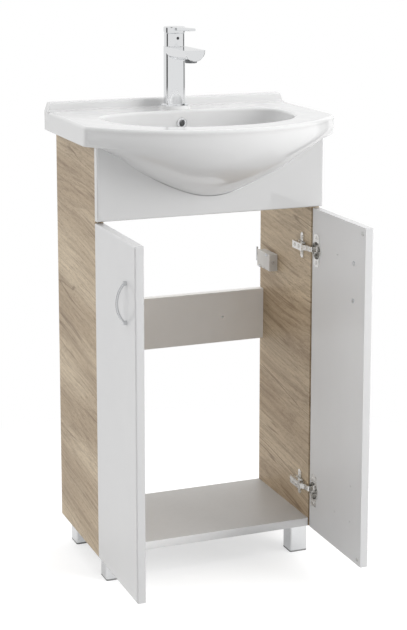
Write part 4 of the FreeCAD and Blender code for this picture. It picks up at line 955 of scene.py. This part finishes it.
@dataclass(frozen=True)
class ScrewSet:
    """All cross-slotted screws that show on the open unit, mirrored to both sides."""

    wood_screw: CrossScrew = CrossScrew("wood_screw", 0.012)
    arm_screw: CrossScrew = CrossScrew("arm_screw", 0.008)
    handle_screw: CrossScrew = CrossScrew("handle_screw", 0.0205, 0.0042, 0.0022)
    heights: tuple[float, float] = (0.132, 0.613)
    plate_x: float = 0.207
    plate_y: float = 0.02825
    plate_step: float = 0.016
    arm_x: float = 0.1956
    arm_y: tuple[float, float] = (0.02025, 0.03785)
    cup_x: float = 0.2093
    cup_y: float = -0.03175
    cup_step: float = 0.024
    handle_x: float = 0.2105
    handle_y: float = -0.18825
    handle_z: tuple[float, float] = (0.550, 0.620)
    spin_step: float = 37.0

    def build(self, steel: bpy.types.Material, bright: bpy.types.Material) -> None:
        """Places every screw and hides the plain ones.

        Args:
            steel: The finish of the handle screws.
            bright: The finish of the hinge screws.
        """
        models = {kind: kind.model() for kind in (self.wood_screw, self.arm_screw, self.handle_screw)}
        count = 0
        for side in Side:
            for index, (use, kind, seat) in enumerate(self._seats(side)):
                name = f"{use}_screw_{side.word}_{index}"
                piece = kind.place(models[kind], name, seat, side, self.spin_step * count)
                on_door = use in ("cup", "handle")
                Bench.finish(piece, steel if use == "handle" else bright,
                             "door_" + side.word if on_door else "cabinet", "zinc_steel")
                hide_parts(f"{use}_screws_{side.word}" if on_door else "hinge_screws")
                count += 1
        for model in models.values():
            bpy.data.objects.remove(model)

    def _seats(self, side: Side) -> list[tuple[str, CrossScrew, Triple]]:
        """The use, the kind and the seat of every screw on one side."""
        seats = []
        for z in self.heights:
            seats += [("plate", self.wood_screw, (self.plate_x, self.plate_y, z + step))
                      for step in (-self.plate_step, self.plate_step)]
            seats += [("arm", self.arm_screw, (self.arm_x, y, z)) for y in self.arm_y]
            seats += [("cup", self.wood_screw, (self.cup_x, self.cup_y, z + step))
                      for step in (-self.cup_step, self.cup_step)]
        seats += [("handle", self.handle_screw, (self.handle_x, self.handle_y, z)) for z in self.handle_z]
        return [(use, kind, (side.value * x, y, z)) for use, kind, (x, y, z) in seats]


# ---- studio
@dataclass(frozen=True)
class Lamp:
    """A square area lamp."""

    name: str
    place: Triple
    size: float
    power: float

    def build(self, aim: Vector) -> None:
        """Sets the lamp up, turned to the aim."""
        data = bpy.data.lights.new(self.name, "AREA")
        data.size = self.size
        data.energy = self.power
        lamp = bpy.data.objects.new(self.name, data)
        bpy.context.scene.collection.objects.link(lamp)
        lamp.location = self.place
        lamp.rotation_mode = "QUATERNION"
        lamp.rotation_quaternion = (aim - Vector(self.place)).to_track_quat("-Z", "Y")
        lamp.visible_glossy = False


@dataclass(frozen=True)
class Studio:
    """Floor, lamps, world and camera."""

    lens: float = 91.606
    shift_down: float = 0.2
    camera_place: Triple = (-1.0884, -2.7452, 1.246)
    yaw: float = 21.455
    pitch: float = 9.711
    floor_half: float = 30.0
    floor_tone: float = 0.5
    floor_lift: float = 0.60
    mirrored_lift: float = 0.30
    floor_fade: tuple[float, float] = (0.36, 1.0)
    back_fill: float = 1.9
    front_fill: float = 0.06
    mirrored_tone: float = 0.84
    flag_angle: float = 108.0
    flag_core: float = 5.4
    flag_edge: float = 13.5
    flag_tone: float = 0.02
    aim: Triple = (0.0, 0.0, 0.55)
    lamps: tuple[Lamp, ...] = (
        Lamp("key_lamp", (2.6, -2.3, 1.75), 2.0, 103.0),
        Lamp("left_lamp", (-2.6, -1.4, 0.9), 2.2, 12.0),
        Lamp("top_lamp", (0.2, -0.4, 3.2), 2.0, 12.0),
    )

    def build(self) -> None:
        """Sets everything up."""
        bpy.context.scene.view_settings.view_transform = "Standard"
        self._camera()
        self._floor()
        self._world()
        for lamp in self.lamps:
            lamp.build(Vector(self.aim))

    def _camera(self) -> None:
        """The photograph's point of view."""
        data = bpy.data.cameras.new("camera")
        data.sensor_width = 36.0
        data.lens = self.lens
        data.shift_y = -self.shift_down
        data.clip_start = 0.05
        data.clip_end = 100.0
        camera = bpy.data.objects.new("camera", data)
        bpy.context.scene.collection.objects.link(camera)
        camera.location = self.camera_place
        yaw, pitch = math.radians(self.yaw), math.radians(self.pitch)
        ahead = Vector((math.sin(yaw) * math.cos(pitch), math.cos(yaw) * math.cos(pitch), -math.sin(pitch)))
        camera.rotation_mode = "QUATERNION"
        camera.rotation_quaternion = ahead.to_track_quat("-Z", "Y")
        bpy.context.scene.camera = camera

    @staticmethod
    def _seen(tree: bpy.types.NodeTree, kinds: Sequence[str]) -> bpy.types.NodeSocket:
        """1 for rays of the named kinds, 0 for the rest."""
        path = tree.nodes.new("ShaderNodeLightPath")
        level = path.outputs[kinds[0]]
        for kind in kinds[1:]:
            level = reckon(tree, "MAXIMUM", level, path.outputs[kind])
        return level

    def _floor(self) -> None:
        """A pale floor that keeps the shadow near the object and runs out to white."""
        bpy.ops.mesh.primitive_plane_add(size=2 * self.floor_half)
        floor = bpy.context.object
        floor.name = "floor"
        material = bpy.data.materials.new("studio_floor")
        material.use_nodes = True
        tree = material.node_tree
        main = tree.nodes["Principled BSDF"]
        main.inputs["Base Color"].default_value = (self.floor_tone,) * 3 + (1,)
        main.inputs["Roughness"].default_value = 0.9
        main.inputs["Specular IOR Level"].default_value = 0.0
        main.inputs["Emission Color"].default_value = (1, 1, 1, 1)
        seen = self._seen(tree, ("Is Camera Ray", "Is Transmission Ray"))
        glossy = self._seen(tree, ("Is Glossy Ray",))
        shine = reckon(tree, "MULTIPLY", glossy, self.mirrored_lift)
        lift = reckon(tree, "MULTIPLY_ADD", seen, self.floor_lift, shine)
        tree.links.new(lift, main.inputs["Emission Strength"])
        place = tree.nodes.new("ShaderNodeTexCoord").outputs["Object"]
        reach = wire(tree, "VectorMath", {0: place}, operation="LENGTH").outputs["Value"]
        away = wire(tree, "MapRange", {"Value": reach, "From Min": self.floor_fade[0],
                                       "From Max": self.floor_fade[1]}, interpolation_type="SMOOTHSTEP")
        share = reckon(tree, "MULTIPLY", reckon(tree, "MAXIMUM", seen, glossy), away.outputs["Result"])
        strength = wire(tree, "Mix", {"Factor": glossy, "A": 1.0, "B": self._mirrored(tree, place)})
        white = wire(tree, "Emission", {"Color": (1, 1, 1, 1), "Strength": strength.outputs["Result"]})
        mix = tree.nodes.new("ShaderNodeMixShader")
        tree.links.new(share, mix.inputs[0])
        tree.links.new(main.outputs["BSDF"], mix.inputs[1])
        tree.links.new(white.outputs["Emission"], mix.inputs[2])
        tree.links.new(mix.outputs["Shader"], tree.nodes["Material Output"].inputs["Surface"])
        floor.data.materials.append(material)

    def _mirrored(self, tree: bpy.types.NodeTree, direction: bpy.types.NodeSocket) -> bpy.types.NodeSocket:
        """What gloss and metal mirror: an even tone with a dark flag on either side.

        Args:
            tree: The node tree of the floor or the world.
            direction: Where the ray goes, or the place that it meets.

        Returns:
            The brightness.
        """
        way = wire(tree, "SeparateXYZ", {0: direction}).outputs
        angle = reckon(tree, "ARCTAN2", way["X"], reckon(tree, "MULTIPLY", way["Y"], -1.0))
        aside = reckon(tree, "ABSOLUTE", angle)
        off = reckon(tree, "ABSOLUTE", reckon(tree, "SUBTRACT", aside, math.radians(self.flag_angle)))
        return wire(tree, "MapRange", {"Value": off, "From Min": math.radians(self.flag_core),
                                       "From Max": math.radians(self.flag_edge), "To Min": self.flag_tone,
                                       "To Max": self.mirrored_tone},
                    interpolation_type="SMOOTHSTEP").outputs["Result"]

    def _world(self) -> None:
        """White to the camera, a fill that is weaker from the front, and what metal mirrors."""
        world = bpy.data.worlds.new("studio")
        bpy.context.scene.world = world
        world.use_nodes = True
        tree = world.node_tree
        direction = tree.nodes.new("ShaderNodeTexCoord").outputs["Generated"]
        way = wire(tree, "SeparateXYZ", {0: direction}).outputs
        front = wire(tree, "MapRange", {"Value": way["Y"], "From Min": -1.0, "From Max": 1.0,
                                        "To Min": self.front_fill, "To Max": self.back_fill})
        mirrored = self._mirrored(tree, direction)
        glossy = self._seen(tree, ("Is Glossy Ray",))
        plain = self._seen(tree, ("Is Camera Ray", "Is Transmission Ray"))
        level = wire(tree, "Mix", {"Factor": glossy, "A": front.outputs["Result"], "B": mirrored})
        level = wire(tree, "Mix", {"Factor": plain, "A": level.outputs["Result"], "B": 1.0})
        tree.links.new(level.outputs["Result"], tree.nodes["Background"].inputs["Strength"])
        tree.nodes["Background"].inputs["Color"].default_value = (1, 1, 1, 1)


# Nodes with their own finish: the doors differ only in gloss; the front panel, handles and shelf get darker
# copies of their slot's finish (painted shade), the back rail and glides lighter ones (painted light).
OWN_FINISH: Mapping[str, str] = {
    "front_panel": "panel_lacquer",
    "door_left": "door_lacquer",
    "door_right": "door_lacquer",
    "handle_left": "handle_chrome",
    "handle_right": "handle_chrome",
    "bottom_panel": "shelf_board",
    "back_rail": "rail_board",
    "leg_glides": "glide_plastic",
}


def write_sizes() -> None:
    """Updates the view layer."""
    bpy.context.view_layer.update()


def main() -> None:
    """Builds everything in order."""
    logging.basicConfig(level=logging.INFO)
    bpy.ops.object.select_all(action="DESELECT")
    Studio().build()
    wardrobe = Wardrobe()
    slots = {part["node"]: part["material_slot"] for part in frame["record"]["subparts"]}
    for node, slot_name in slots.items():
        wardrobe.dress_node(node, OWN_FINISH.get(node, slot_name))
    log.info("dressed %d packed pieces", len(slots))
    BasinApron().build(wardrobe.made["glazed_ceramic"])
    # The shelf's edge strip wears a much lighter copy of the front lacquer, painted light.
    strip = EdgeStrip("shelf_front_strip", "bottom_panel")
    strip.build(wardrobe.made["gloss_strip"], "cabinet", "white_gloss_front")
    ScrewSet().build(wardrobe.made["zinc_steel"], wardrobe.made["nickel_steel"])
    write_sizes()


if __name__ == "__main__":
    main()
